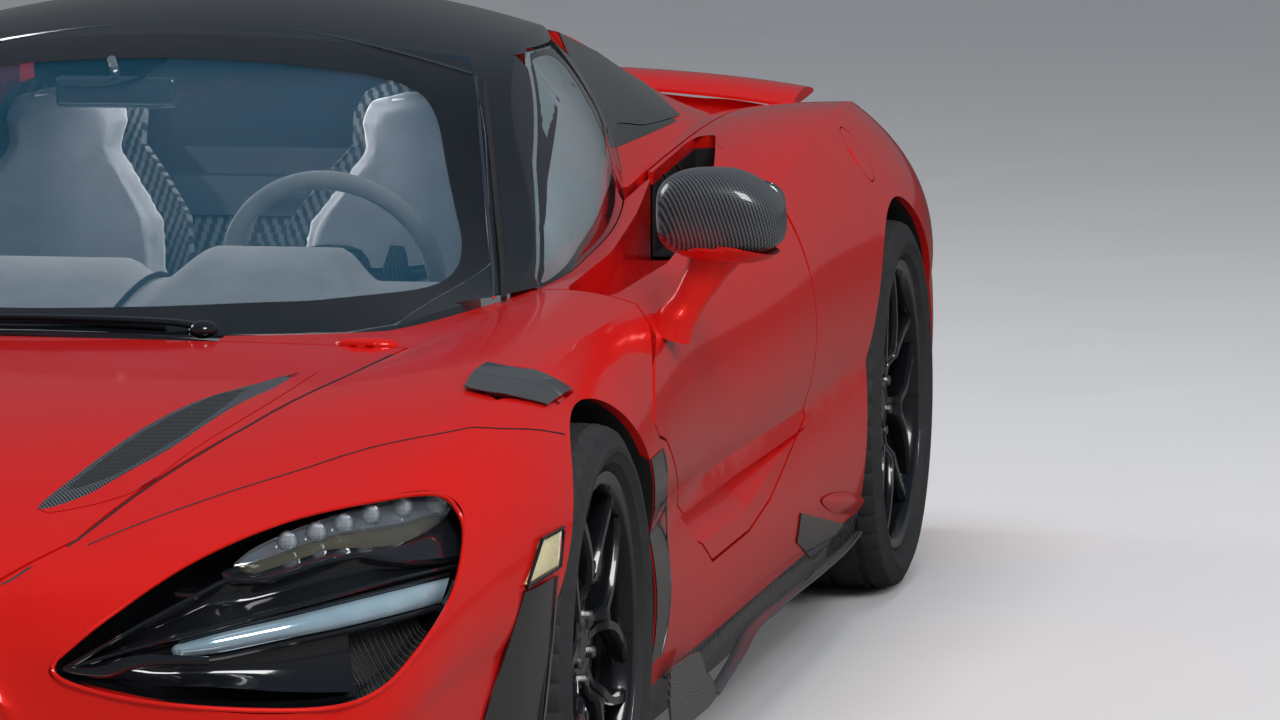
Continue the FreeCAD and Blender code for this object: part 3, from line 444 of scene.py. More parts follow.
PAINT = paint()
CARBON = carbon("carbon_weave", 620.0, (0.012, 0.014, 0.017), (0.085, 0.095, 0.105))
CARBON_DARK = carbon("carbon_low", 200.0, (0.010, 0.010, 0.011), (0.040, 0.042, 0.045))
ROOF = finish_of("roof_black", (0.010, 0.012, 0.015), (0.016, 0.018, 0.022), 0.22, 4.0, 0.03,
                 Coat_Weight=1.0, Coat_Roughness=0.02)
GLOSS = finish_of("gloss_black", (0.006, 0.007, 0.009), (0.012, 0.013, 0.016), 0.12, 12.0, 0.03,
                  Coat_Weight=1.0, Coat_Roughness=0.02)
TRIM = finish_of("trim_black", (0.012, 0.012, 0.013), (0.022, 0.022, 0.024), 0.55, 60.0, 0.08, 0.0003)
RUBBER = finish_of("tyre_rubber", (0.016, 0.016, 0.017), (0.032, 0.032, 0.034), 0.72, 45.0, 0.08, 0.0005)
WHEEL = finish_of("wheel_black", (0.010, 0.011, 0.013), (0.017, 0.018, 0.021), 0.2, 25.0, 0.04,
                  Metallic=0.5, Coat_Weight=1.0, Coat_Roughness=0.03)
STEEL = finish_of("disc_steel", (0.34, 0.34, 0.35), (0.46, 0.46, 0.47), 0.32, 70.0, 0.08, 0.0002, Metallic=1.0)
ALLOY = finish_of("cast_alloy", (0.38, 0.38, 0.40), (0.50, 0.50, 0.52), 0.42, 40.0, 0.1, 0.0004, Metallic=1.0)
EXHAUST = finish_of("exhaust_steel", (0.30, 0.28, 0.26), (0.44, 0.42, 0.40), 0.28, 20.0, 0.08, Metallic=1.0)
# Bright metal for trim. On the seals, the rim lips and the blade edge it is a painted highlight.
BRIGHT_TRIM_AND_HIGHLIGHTS = finish_of("bright_trim_and_painted_highlights", (0.50, 0.52, 0.55), (0.62, 0.64, 0.67), 0.22, 30.0, 0.05, Metallic=1.0)
CLEAR = finish_of("light_bar", (0.36, 0.55, 0.66), (0.60, 0.78, 0.88), 0.10, 22.0, 0.04,
                  Metallic=0.55, Coat_Weight=1.0, Coat_Roughness=0.01)
CRYSTAL = finish_of("lens_bright", (0.62, 0.72, 0.80), (0.88, 0.93, 0.97), 0.08, 60.0, 0.04,
                    Metallic=0.5, Coat_Weight=1.0)
BRONZE = finish_of("reflector_bronze", (0.075, 0.066, 0.030), (0.13, 0.115, 0.06), 0.2, 20.0, 0.05,
                   Metallic=0.4, Coat_Weight=1.0)
SILVER = finish_of("reflector_grey", (0.16, 0.20, 0.24), (0.30, 0.35, 0.40), 0.16, 25.0, 0.05,
                   Metallic=0.6, Coat_Weight=1.0)
POD = pane("lamp_cover", (0.10, 0.12, 0.13), (0.16, 0.18, 0.20), 0.12, 0.55)
# Windscreen colour: partly the glass's blue tint, partly a painted blue sky reflection.
SCREEN_TINT_AND_PAINTED_SKY = pane("screen_tint_and_painted_sky", (0.004, 0.055, 0.100), (0.008, 0.085, 0.145), 0.20, 0.50)
# Side glass colour: a light tint with a painted pale blue sky reflection over it.
SIDE_TINT_AND_PAINTED_SKY = pane("side_tint_and_painted_sky", (0.16, 0.24, 0.28), (0.34, 0.42, 0.45), 0.30, 0.80)
SMOKED = pane("smoked_glass", (0.006, 0.008, 0.010), (0.014, 0.016, 0.020), 0.80, 0.95)
MIRROR = finish_of("mirror_face", (0.70, 0.73, 0.76), (0.80, 0.83, 0.86), 0.03, 10.0, 0.01, Metallic=1.0)
SUEDE = suede("suede_grey", (0.34, 0.35, 0.36), (0.52, 0.53, 0.54))
SUEDE_DARK = suede("suede_dark", (0.045, 0.048, 0.055), (0.090, 0.094, 0.104))
SUEDE_SEAT = suede("suede_seat", (0.30, 0.31, 0.33), (0.46, 0.47, 0.49))
LEATHER = finish_of("leather_black", (0.020, 0.020, 0.022), (0.038, 0.038, 0.041), 0.55, 55.0, 0.08, 0.0006)
LAMP_RED = finish_of("lamp_red", (0.30, 0.004, 0.004), (0.42, 0.010, 0.008), 0.12, 30.0, 0.04,
                     Coat_Weight=1.0, Emission_Color=(1.0, 0.03, 0.02, 1.0), Emission_Strength=0.25)
MARKER = finish_of("marker_lens", (0.62, 0.52, 0.26), (0.82, 0.76, 0.50), 0.14, 90.0, 0.05, 0.0006,
                   Coat_Weight=1.0)
GRILLE = meshwork("grille_mesh", 130.0, (0.004, 0.004, 0.004), (0.032, 0.032, 0.034))
FINE_MESH = meshwork("fine_mesh", 320.0, (0.003, 0.003, 0.003), (0.030, 0.031, 0.033))

LOOKS = {
    "tyre": RUBBER, "wheel_black": WHEEL, "glass": SCREEN_TINT_AND_PAINTED_SKY, "paint_red": PAINT, "roof_black": ROOF,
    "lamp_black": GLOSS, "lamp_red": LAMP_RED, "carbon": CARBON_DARK, "trim_black": TRIM,
    "dash_fabric": SUEDE, "seat_fabric": SUEDE_SEAT, "leather_black": LEATHER, "alloy": ALLOY,
    "exhaust_steel": EXHAUST,
}
SPECIAL = {"buttress_glass": SMOKED, "rear_window": SMOKED, "door_glass_left": SIDE_TINT_AND_PAINTED_SKY, "door_glass_right": SIDE_TINT_AND_PAINTED_SKY,
           "front_grille": GRILLE, "rear_mesh": GRILLE}
for node, slot in SLOT_OF.items():
    mesh = nodes[node].data
    mesh.materials.clear()
    mesh.materials.append(SPECIAL.get(node, LOOKS[slot]))


# Painted and black skins, with their shading evened out across the seams
EVEN_ANGLE = 32.0


def skin(name, node):
    """The node's own form as a piece whose normals run smoothly from face to face."""
    source = nodes[node]
    mesh = source.data.copy()
    mesh.name = name
    mesh.transform(source.matrix_world)
    keys = [tuple(round(c, 5) for c in v.co) for v in mesh.vertices]
    normals = [n.vector.copy() for n in mesh.corner_normals]
    meeting = {}
    for loop, normal in zip(mesh.loops, normals):
        meeting.setdefault(keys[loop.vertex_index], []).append(normal)
    limit = math.cos(math.radians(EVEN_ANGLE))
    even = []
    for loop, normal in zip(mesh.loops, normals):
        total = Vector()
        for other in meeting[keys[loop.vertex_index]]:
            if other.dot(normal) > limit:
                total += other
        even.append(total.normalized())
    for face in mesh.polygons:
        face.use_smooth = True
    mesh.normals_split_custom_set(even)
    o = bpy.data.objects.new(name, mesh)
    bpy.context.scene.collection.objects.link(o)
    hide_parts(node)
    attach(o, BODY_OF[node])
    return o


SKINS = ["bonnet", "front_bumper", "front_wing_left", "front_wing_right", "rear_quarter_left",
         "rear_quarter_right", "rear_deck", "rear_fascia", "tonneau_cover", "fuel_flap", "rear_wing",
         "screen_frame", "roof_panel", "roll_hoops", "side_skirts", "front_splitter", "diffuser", "side_ducts"]
for node in SKINS:
    skin(node + "_skin", node)
for hand, side in (("left", 1), ("right", -1)):
    skin("door_skin_" + hand, "door_" + hand)


# Door cards and glass surrounds
GLASS_RIM = [((560, 772), (525, 789)), ((150, 770), (150, 838)), ((-20, 770), (-20, 868)),
             ((-200, 770), (-150, 886)), ((-345, 775), (-233, 903)), ((-345, 930), (-255, 941)),
             ((-300, 1060), (-250, 1005)), ((-262, 1098), (-226, 1078)), ((-60, 1102), (-60, 1092)),
             ((14, 1080), (20, 1068)), ((300, 950), (298, 940)), ((480, 845), (474, 836)),
             ((560, 795), (518, 806))]
SCREEN_RIM = [((1102, 0), (1030, 0)), ((1097, 200), (1004, 215)), ((1070, 400), (944, 397)),
              ((1030, 500), (898, 472)), ((960, 574), (823, 546)), ((870, 590), (756, 583)),
              ((800, 602), (696, 596)), ((700, 620), (633, 596)), ((600, 640), (566, 583)),
              ((520, 622), (505, 561)), ((430, 598), (447, 539)), ((370, 580), (380, 514)),
              ((300, 562), (313, 490)), ((220, 535), (260, 464)), ((150, 508), (221, 430)),
              ((76, 482), (193, 363)), ((72, 240), (179, 227)), ((72, 0), (172, 0))]


def glass_surround(side):
    """Black printed border on the side glass."""
    hand = hand_of(side)
    tree = target("door_glass_left")
    outer = [Vector((x, 0, z)) / 1000 for (x, z), inner in GLASS_RIM]
    inner = [Vector((x, 0, z)) / 1000 for edge, (x, z) in GLASS_RIM]

    def place(u, v):
        p = along(outer, u, True, True).lerp(along(inner, u, True), v)
        return onto(tree, Vector((p.x, 1.3, p.z)), Vector((0, -1, 0)))

    bm = surface(place, 96, 6)
    piece("glass_border_" + hand, sided(bm, side), GLOSS, "door_" + hand)


def screen_surround():
    """Black printed border on the windscreen."""
    tree = target("windscreen")
    half = SCREEN_RIM[1:-1]
    ring = SCREEN_RIM + [((ox, -oy), (ix, -iy)) for (ox, oy), (ix, iy) in half[::-1]]
    outer = [Vector((x, y, 0)) / 1000 for (x, y), inner in ring]
    inner = [Vector((x, y, 0)) / 1000 for edge, (x, y) in ring]

    def place(u, v):
        edge, clear = along(outer, u, True, True), along(inner, u, True)
        down = Vector((0, 0, -1))
        start = next((t for t in [k / 50 for k in range(50)]
                      if tree.ray_cast(edge.lerp(clear, t) - 1.6 * down, down)[0]), 0.0)
        return onto(tree, edge.lerp(clear, start + (1 - start) * v) - 1.6 * down, down)

    piece("screen_border", surface(place, 130, 8), GLOSS, "chassis")


def door_card(side):
    """Inner door panel with its armrest."""
    hand = hand_of(side)

    def place(u, v):
        x = -0.540 + 0.960 * u
        low = 0.444 + 0.03 * math.sin(math.pi * u)
        z = low + (0.740 - low) * v
        rim = min(u, 1 - u, v, 1 - v)
        swell = min(rim / 0.08, 1.0)
        arm = math.exp(-((v - 0.52) / 0.10) ** 2) * math.exp(-((u - 0.45) / 0.33) ** 4)
        return Vector((x, 0.6590 - 0.008 * swell - 0.034 * arm, z))

    bm = surface(place, 40, 28)
    piece("door_card_" + hand, sided(bm, side), LEATHER, "door_" + hand)
    strap = rod(mm([(-300, 618, 640), (-100, 606, 652), (120, 606, 652), (300, 618, 640)]), 0.009, flat=0.5)
    piece("door_pull_" + hand, sided(strap, side), SUEDE_DARK, "door_" + hand)


SEAL_TOP = mm([(14, -130, 1144), (10, 0, 1147), (14, 130, 1144), (40, 240, 1133), (92, 364, 1112), (139, 503, 1081)])
SEAL_SIDE = mm([(147, 511, 1076), (309, 556, 994), (453, 598, 902), (600, 640, 828), (717, 668, 783)])


def seals():
    """Thin bright lines along the header and the pillars: painted highlights where the seals catch the light."""
    # Bright rods as painted highlights along the seals.
    highlight_rods = [rod(SEAL_TOP, 0.0032, 8, 30), rod(SEAL_SIDE, 0.0030, 8, 30)]
    piece("screen_seal_highlights", both(merged(*highlight_rods)), BRIGHT_TRIM_AND_HIGHLIGHTS, "chassis")
    dark = [rod([p + Vector((0, 0.016, -0.002)) for p in SEAL_SIDE], 0.005, 8, 30)]
    piece("pillar_seals", both(merged(*dark)), TRIM, "chassis")


def wiper():
    """Wiper resting along the foot of the windscreen."""
    blade = rod(mm([(1060, -420, 770), (1086, -200, 776), (1090, 0, 778), (1083, 120, 777), (1076, 250, 772)]),
                0.008, 8, 40, flat=0.7)
    arm = rod(mm([(1100, -120, 782), (1092, 60, 784), (1078, 240, 779), (1072, 300, 772)]), [0.006, 0.011], 8, 24,
              flat=0.6)
    cap = ball((1.072, 0.306, 0.768), (0.024, 0.022, 0.014))
    piece("wiper", merged(blade, arm, cap), GLOSS, "chassis")


# Lamps in the nose
SOCKET = mm([(2262, 425, 465), (2207, 498, 532), (2100, 578, 587), (1977, 669, 622), (1873, 767, 637),
             (1783, 829, 634), (1774, 859, 607), (1806, 873, 571), (1896, 876, 510), (2018, 856, 454),
             (2104, 822, 414), (2175, 759, 402), (2238, 614, 411), (2261, 485, 431)])
POD_TOP = mm([(2073, 620, 575), (2034, 636, 590), (1986, 667, 604), (1940, 699, 615), (1896, 732, 623),
              (1853, 766, 629), (1799, 797, 632), (1757, 819, 632), (1732, 840, 622), (1736, 849, 610)])
POD_LOW = mm([(2058, 616, 570), (2064, 639, 563), (2050, 661, 566), (2015, 696, 576), (1976, 730, 584),
              (1942, 765, 582), (1895, 798, 580), (1835, 819, 585), (1770, 835, 596), (1720, 846, 605)])
LENSES = mm([(1986, 672, 594), (1951, 703, 602), (1914, 731, 609), (1873, 758, 617), (1819, 789, 620),
             (1757, 822, 617)])
POD_RIM = mm([(2084, 607, 565), (2096, 617, 557), (2091, 642, 555), (2070, 680, 559), (2026, 721, 570),
              (1985, 754, 575), (1964, 771, 575), (1930, 806, 564), (1871, 836, 558), (1799, 862, 553)])
BAR_TOP = mm([(2171, 571, 483), (2148, 621, 496), (2101, 696, 510), (2031, 765, 522), (1923, 826, 528),
              (1830, 857, 527)])
BAR_LOW = mm([(2171, 576, 466), (2155, 623, 471), (2113, 699, 484), (2049, 769, 493), (1943, 831, 499),
              (1869, 855, 499)])
RIB = mm([(2192, 529, 482), (2152, 623, 506), (2070, 732, 529), (1952, 811, 541), (1810, 862, 540)])
TIP = mm([(2245, 435, 455), (2235, 485, 454), (2222, 536, 468), (2201, 621, 467)])
BLADE_TIP = mm([(2248, 436, 458)])
MESH_TOP = mm([(2083, 682, 462), (2013, 760, 478), (1904, 826, 482)])
MESH_LOW = mm([(2073, 723, 436), (2044, 767, 413), (2010, 794, 414), (1950, 823, 431), (1897, 837, 457)])


def lamp_bucket():
    """Black bowl behind the socket's rim."""
    middle = sum(SOCKET, Vector()) / len(SOCKET)
    rows = [(0.012, 4), (0.03, 24), (0.06, 60), (0.16, 100), (0.45, 125), (0.8, 132), (1.0, 134)]
    shrink = [Vector((a, b, 0)) for a, b in rows]

    def place(u, v):
        edge = along(SOCKET, u, True)
        inset, depth, _ = along(shrink, v, False, True)
        return edge.lerp(middle, inset) + INWARD * (depth / 1000)

    return surface(place, 84, 18)


def lofted(curves, nu, nv, lift=None):
    """A sheet through several curves, with lift(u, v) towards the outside."""
    def place(u, v):
        point = along([along(c, u) for c in curves], v)
        return point - INWARD * lift(u, v) if lift else point
    return surface(place, nu, nv)


def headlamp_pieces(side):
    """Bowl, lens pod, light bar, ribs and mesh of one lamp."""
    hand = hand_of(side)

    def add(name, bm, material, slot="lamp_black", replaces=()):
        return piece("%s_%s" % (name, hand), sided(bm, side), material, "chassis", replaces)

    add("lamp_bowl", lamp_bucket(), GLOSS, replaces=["headlamp_" + hand])
    low_rim = [p + INWARD * 0.004 for p in POD_LOW]
    sunk_rim = [p + Vector((-0.006, 0.002, -0.012)) + INWARD * 0.016 for p in POD_RIM]
    ledge = lofted([low_rim, POD_RIM, sunk_rim], 40, 14)
    crest = BLADE_TIP + mm([(2200, 522, 508), (2151, 582, 540)]) + POD_RIM[1:]
    ridge = BLADE_TIP + RIB
    foot = BLADE_TIP + mm([(2196, 540, 474)]) + BAR_TOP

    def evened(curve, push=0.0):
        return [along(curve, i / 12) + INWARD * push for i in range(13)]

    valley = [a.lerp(b, 0.5) + INWARD * 0.026 for a, b in zip(evened(crest), evened(ridge))]
    dip = [a.lerp(b, 0.55) + INWARD * 0.014 for a, b in zip(evened(ridge), evened(foot))]
    blade = lofted([evened(crest, 0.004), valley, evened(ridge), dip, evened(foot, 0.012)], 60, 32)
    add("lamp_blade", merged(ledge, blade), GLOSS)
    chin = BLADE_TIP + mm([(2240, 500, 446), (2228, 560, 437), (2200, 640, 432), (2150, 720, 420), (2090, 790, 412)])
    under = BLADE_TIP + mm([(2196, 545, 468)]) + [p - Vector((0, 0, 0.008)) for p in BAR_LOW[:4]]
    trough = [a.lerp(b, 0.5) + INWARD * 0.030 for a, b in zip(evened(under), evened(chin))]
    tray = lofted([evened(under, 0.008), trough, evened(chin, 0.030)], 40, 14)
    add("lamp_tray", tray, GLOSS)
    add("lamp_rib", merged(rod(ridge, [0.003, 0.0042, 0.003], 10, 40), rod(crest, [0.003, 0.004, 0.004], 10, 50),
                           rod(BLADE_TIP + TIP[1:], [0.004, 0.010, 0.006], 12, 24)), GLOSS)
    backs = []
    for top, low, material in ((0.0, 0.56, SILVER), (0.56, 1.0, BRONZE)):
        backs.append((lofted([[a.lerp(b, t) + INWARD * 0.022 for a, b in zip(POD_TOP, POD_LOW)]
                              for t in (top, (top + low) / 2, low)], 40, 8), material))
    add("pod_reflector", backs[0][0], backs[0][1], "alloy")
    add("pod_floor", backs[1][0], backs[1][1], "alloy")
    bulge = lofted([POD_TOP, POD_LOW], 48, 14,
                   lambda u, v: 0.013 * math.sin(math.pi * v) * math.sin(math.pi * u) ** 0.4)
    add("pod_cover", bulge, POD, "glass")
    line = [along(POD_TOP, i / 20) + INWARD * 0.014 for i in range(21)]
    shelf = [a.lerp(b, 0.56) + INWARD * 0.012 for a, b in zip(POD_TOP, POD_LOW)]
    add("pod_line", merged(rod(shelf, 0.0014, 6, 40), rod(line, 0.0012, 6, 40)), BRIGHT_TRIM_AND_HIGHLIGHTS, "alloy")
    shells, rings = [], []
    for i, at in enumerate(LENSES):
        size = 0.0120 if i < 5 else 0.017
        centre = at + INWARD * 0.001
        shells.append(ball(centre, (size * 0.7, size, size), sides=11, rows=7))
        turn = [centre + Vector((0, math.cos(a), math.sin(a))) * size * 1.12 - Vector((0.002, 0, 0))
                for a in [math.pi * k / 6 for k in range(12)]]
        rings.append(rod(turn, 0.0022, 8, 24, closed=True, up=Vector((1, 0, 0))))
    piece("lamp_lenses_" + hand, sided(merged(*shells), side), CRYSTAL, "chassis", crease=5.0)
    add("lens_rings", merged(*rings), BRIGHT_TRIM_AND_HIGHLIGHTS, "alloy")
    bar = merged(lofted([BAR_TOP, BAR_LOW], 48, 12, lambda u, v: 0.012 * math.sin(math.pi * v)),
                 lofted([[p + INWARD * 0.004 for p in BAR_TOP], [p + INWARD * 0.004 for p in BAR_LOW]], 48, 4),
                 ball(BAR_TOP[0].lerp(BAR_LOW[0], 0.5), (0.010, 0.012, 0.0095)))
    add("light_bar", bar, CLEAR, "glass")
    frame_low = [p - Vector((0, 0, 0.006)) + INWARD * 0.004 for p in BAR_LOW]
    frame_top = [p + Vector((0, 0, 0.004)) for p in BAR_TOP]
    add("bar_frame", merged(rod(frame_low, 0.005, 10, 30), rod(frame_top, 0.003, 8, 30)), GLOSS)
    ribs = []
    for i in range(26):
        t = i / 25
        ribs.append(rod([along(MESH_TOP, t), along(MESH_LOW, t) - INWARD * 0.004], 0.0015, 5, 3))
    backing = lofted([[along(MESH_TOP, i / 8) + INWARD * 0.008 for i in range(9)],
                      [along(MESH_LOW, i / 8) + INWARD * 0.008 for i in range(9)]], 20, 8)
    add("lamp_mesh", merged(*ribs), TRIM, "trim_black")
    add("lamp_mesh_back", backing, FINE_MESH, "trim_black")
    rim = rod([p.lerp(sum(SOCKET, Vector()) / len(SOCKET), 0.004) - INWARD * 0.0015 for p in SOCKET], 0.0035, 8, 120,
              closed=True)
    add("socket_seal", rim, PAINT, "paint_red")


# Bonnet blades, wing louvres and the corner of the nose
VENT_RING = mm([(2013, 334, 634), (1906, 355, 664), (1790, 378, 690), (1672, 401, 710), (1566, 429, 723),
                (1486, 465, 730), (1403, 501, 737), (1346, 524, 740), (1460, 516, 732), (1537, 499, 725),
                (1634, 482, 713), (1775, 458, 690), (1884, 421, 667), (1969, 385, 646)])
SLOT_RING = mm([(1953, 359, 651), (1882, 371, 669), (1776, 391, 692), (1660, 415, 711), (1548, 441, 725),
                (1500, 462, 730), (1483, 475, 731), (1490, 480, 730), (1545, 479, 724), (1597, 477, 718),
                (1665, 468, 709), (1733, 458, 698), (1836, 430, 678), (1909, 401, 661)])
VENT_FILL = [(1325, 549), (1450, 543), (1537, 535), (1634, 520), (1775, 489), (1870, 470),
             (1930, 456), (1985, 412), (2024, 352)]


SLOT_SIDES = [
    # x, then the near and the far edge of the slot cut in the bonnet
    (1.375, 0.513, 0.527), (1.400, 0.503, 0.537), (1.460, 0.483, 0.537), (1.520, 0.468, 0.530), (1.600, 0.450, 0.519),
    (1.680, 0.439, 0.500), (1.760, 0.428, 0.480), (1.840, 0.400, 0.469), (1.900, 0.380, 0.459), (1.930, 0.370, 0.449),
    (1.960, 0.350, 0.429), (1.980, 0.340, 0.399), (2.000, 0.330, 0.369), (2.014, 0.330, 0.345),
]


def across_slot(tree, x, y):
    """Height of the bonnet as if its slot were filled in."""
    def cast(at):
        hit = tree.ray_cast(Vector((x, at, 1.2)), Vector((0, 0, -1)))[0]
        return hit.z if hit else tree.find_nearest(Vector((x, at, 0.70)))[0].z
    for front, rear in zip(SLOT_SIDES, SLOT_SIDES[1:]):
        if front[0] <= x <= rear[0]:
            share = (x - front[0]) / (rear[0] - front[0])
            near, far = [front[k] + (rear[k] - front[k]) * share for k in (1, 2)]
            if near < y < far:
                a, b = cast(near - 0.004), cast(far + 0.004)
                return a + (b - a) * (y - near) / (far - near)
    return cast(y)


def bonnet_blade(side):
    """Carbon surround, dark mesh and filled-in flank of one bonnet outlet."""
    tree = target("bonnet", "front_bumper", "front_wing_left")
    hand = hand_of(side)

    def raised(flat, lift):
        return Vector((flat.x, flat.y, across_slot(tree, flat.x, flat.y) + lift))

    def place(u, v):
        flat = along(VENT_RING, u, True).lerp(along(SLOT_RING, u, True), v)
        return raised(flat, table([0.0008, 0.0026, 0.0030, 0.0018], v))

    piece("bonnet_blade_" + hand, sided(surface(place, 90, 8), side), CARBON, "bonnet")

    def floor(u, v):
        near, far = along(SLOT_RING, u, True), along(SLOT_RING, (1 - u) % 1.0, True)
        return raised(near.lerp(far, 0.5 * v), 0.0017)

    piece("bonnet_mesh_" + hand, sided(surface(floor, 90, 8), side), FINE_MESH, "bonnet")
    outer, inner = mm([(x, y, 0) for x, y in VENT_FILL]), VENT_RING[7:] + VENT_RING[:1]

    def fill(u, v):
        return raised(along(outer, u).lerp(along(inner, u), v), 0.0008)

    piece("bonnet_flank_" + hand, sided(surface(fill, 60, 8), side), PAINT, "bonnet")


BONNET_LINE = mm([(2222, 190, 0), (2196, 321, 0), (2150, 368, 0), (2085, 411, 0), (1950, 455, 0), (1680, 532.5, 0),
                  (1400, 590.5, 0), (1290, 606.5, 0), (1178, 620.5, 0)])


def bonnet_seam(side):
    """Dark shut line along the side of the bonnet."""
    hand = hand_of(side)
    tree = target("bonnet", "front_bumper", "front_wing_left")

    def height(x, y):
        found = [tree.ray_cast(Vector((x, y + step, 1.2)), Vector((0, 0, -1)))[0] for step in (-0.007, 0.007)]
        found = [hit.z for hit in found if hit and hit.z > 0.42]
        return sum(found) / len(found) if found else 0.5
    line = [along(BONNET_LINE, i / 60) for i in range(61)]
    line = [Vector((q.x, q.y, height(q.x, q.y) - 0.0006)) for q in line]
    piece("bonnet_seam_" + hand, sided(rod(line, 0.0020, 6, 160), side), TRIM, "chassis")


LOUVRE_SIDES = [
    # y, then the rear and the front edge of the opening, all a little outside it
    (0.760, 1.205, 1.385), (0.785, 1.205, 1.400), (0.812, 1.205, 1.425), (0.832, 1.205, 1.436), (0.860, 1.195, 1.380),
    (0.893, 1.168, 1.310), (0.910, 1.160, 1.290),
]
LOUVRE_CROWN = 0.0045
LOUVRE_PLATES = [
    # rear edge, front edge, height over the wing
    ([(1228, 774), (1236, 830), (1180, 892)], [(1330, 774), (1318, 838), (1262, 890)], 0.0022),
    ([(1322, 774), (1312, 838), (1256, 890)], [(1404, 780), (1408, 836), (1330, 886)], 0.0042),
]


def louvres(side):
    """Overlapping carbon plates in the wing's outlet."""
    hand = hand_of(side)
    tree = target("front_wing_left")

    def cast(x, y):
        hit = tree.ray_cast(Vector((x, y, 1.2)), Vector((0, 0, -1)))[0]
        return hit.z if hit and hit.z > 0.6 else 0.7

    def height(x, y):
        for near, far in zip(LOUVRE_SIDES, LOUVRE_SIDES[1:]):
            if y <= far[0]:
                break
        share = min(max((y - near[0]) / (far[0] - near[0]), 0), 1)
        rear, front = [near[k] + (far[k] - near[k]) * share for k in (1, 2)]
        t = min(max((x - rear) / (front - rear), 0), 1)
        a, b = cast(rear, y), cast(front, y)
        return a + (b - a) * t + LOUVRE_CROWN * 4 * t * (1 - t)

    plates = []
    for back, edge, rise in LOUVRE_PLATES:
        back, edge = mm([(x, y, 0) for x, y in back]), mm([(x, y, 0) for x, y in edge])

        def place(u, v):
            flat = along(back, u).lerp(along(edge, u), v)
            return Vector((flat.x, flat.y, height(flat.x, flat.y) + rise + 0.0025 * v))
        plates.append(thick(surface(place, 20, 14), 0.0016))
    piece("wing_louvre_" + hand, sided(merged(*plates), side), CARBON, "chassis")


def patch(corners, nu, nv, lift, bulge=0.0):
    """A four-cornered sheet a little proud of the body, crowned by bulge along Y."""
    a, b, c, d = mm(corners)

    def place(u, v):
        p = a.lerp(b, u).lerp(d.lerp(c, u), v)
        crown = bulge * math.sin(math.pi * u) * math.sin(math.pi * v)
        return p + Vector((0, lift + crown, 0))
    return surface(place, nu, nv)


def corner_pieces(side):
    """Side marker lens and the gloss blade under it, ahead of the front wheel."""
    hand = hand_of(side)
    lens = patch([(1605, 934, 545), (1516, 944, 549), (1543, 944, 503), (1667, 926, 494)], 10, 8, 0.0025, 0.003)
    piece("side_marker_" + hand, sided(thick(lens, 0.004), side), MARKER, "chassis")
    edge = rod(mm([(1606, 937, 548), (1514, 948, 552), (1540, 948, 500), (1670, 929, 490)]), 0.003, 6, 40,
               closed=True, straight=True)
    piece("marker_rim_" + hand, sided(edge, side), GLOSS, "chassis")

    left = mm([(1672, 925, 484), (1700, 904, 403), (1742, 884, 322), (1752, 868, 240)])
    right = mm([(1556, 943, 489), (1530, 930, 400), (1524, 916, 284), (1520, 906, 220)])

    def place(u, v):
        p = along(left, v).lerp(along(right, v), u)
        return p + Vector((0.002, 0.003 + 0.003 * math.sin(math.pi * u), 0))
    piece("corner_blade_" + hand, sided(thick(surface(place, 10, 24), 0.003), side), GLOSS, "chassis")
    rim = rod([p + Vector((0, 0.005, 0)) for p in right], 0.002, 6, 24)
    piece("corner_edge_" + hand, sided(rim, side), BRIGHT_TRIM_AND_HIGHLIGHTS, "chassis")


# Flank trim
def flank_pieces(side):
    hand = hand_of(side)
    outline = mm([(703, 936, 211), (560, 936, 206), (469, 936, 199), (436, 936, 178), (420, 936, 158),
                  (380, 936, 146), (311, 936, 106), (400, 936, 100), (690, 936, 104), (712, 936, 160)])
    fence = plate(outline[::-1], Vector((0, 0.004, 0)))
    piece("skirt_fence_" + hand, sided(fence, side), CARBON, "chassis")
    rim = rod([p + Vector((0, 0.002, 0)) for p in outline[:7]], 0.0028, 6, 40, straight=True)
    blade = rod(mm([(330, 934, 112), (150, 938, 140), (-6, 938, 166), (-300, 938, 166), (-620, 936, 160),
                    (-900, 934, 156), (-1100, 930, 160)]), [0.010, 0.014, 0.012, 0.006], 10, 50, flat=0.25)
    piece("skirt_blade_" + hand, sided(blade, side), CARBON, "chassis")
    line = rod(mm([(311, 940, 108), (150, 948, 140), (-6, 950, 167), (-300, 950, 167), (-620, 948, 161),
                   (-900, 943, 157), (-1104, 934, 158)]), 0.0026, 6, 60)
    piece("skirt_edge_" + hand, sided(merged(rim, line), side), BRIGHT_TRIM_AND_HIGHLIGHTS, "chassis")
    dark = patch([(-473, 933, 285), (-950, 926, 196), (-697, 915, 168), (-462, 928, 236)], 16, 8, 0.003, 0.002)
    piece("sill_panel_" + hand, sided(thick(dark, 0.002), side), GLOSS, "chassis")
    ring = mm([(-679, 934, 276), (-798, 935, 274), (-1004, 934, 245), (-1149, 930, 211), (-1084, 926, 200),
               (-852, 929, 229)])
    middle = sum(ring, Vector()) / len(ring)

    def dish(u, v):
        p = along(ring, u, True).lerp(middle, v)
        return p + Vector((0, 0.002 + 0.007 * math.sin(v * math.pi / 2), 0))
    piece("flank_oval_" + hand, sided(surface(dish, 40, 8), side), PAINT, "chassis")
    vanes = []
    for i, x in enumerate((-640, -760)):
        vanes.append(rod(mm([(x, 662, 850 + 6 * i), (x - 20, 690, 800), (x - 30, 716, 760)]), 0.005, 8, 12, flat=0.5))
    piece("intake_vanes_" + hand, sided(merged(*vanes), side), GLOSS, "chassis")


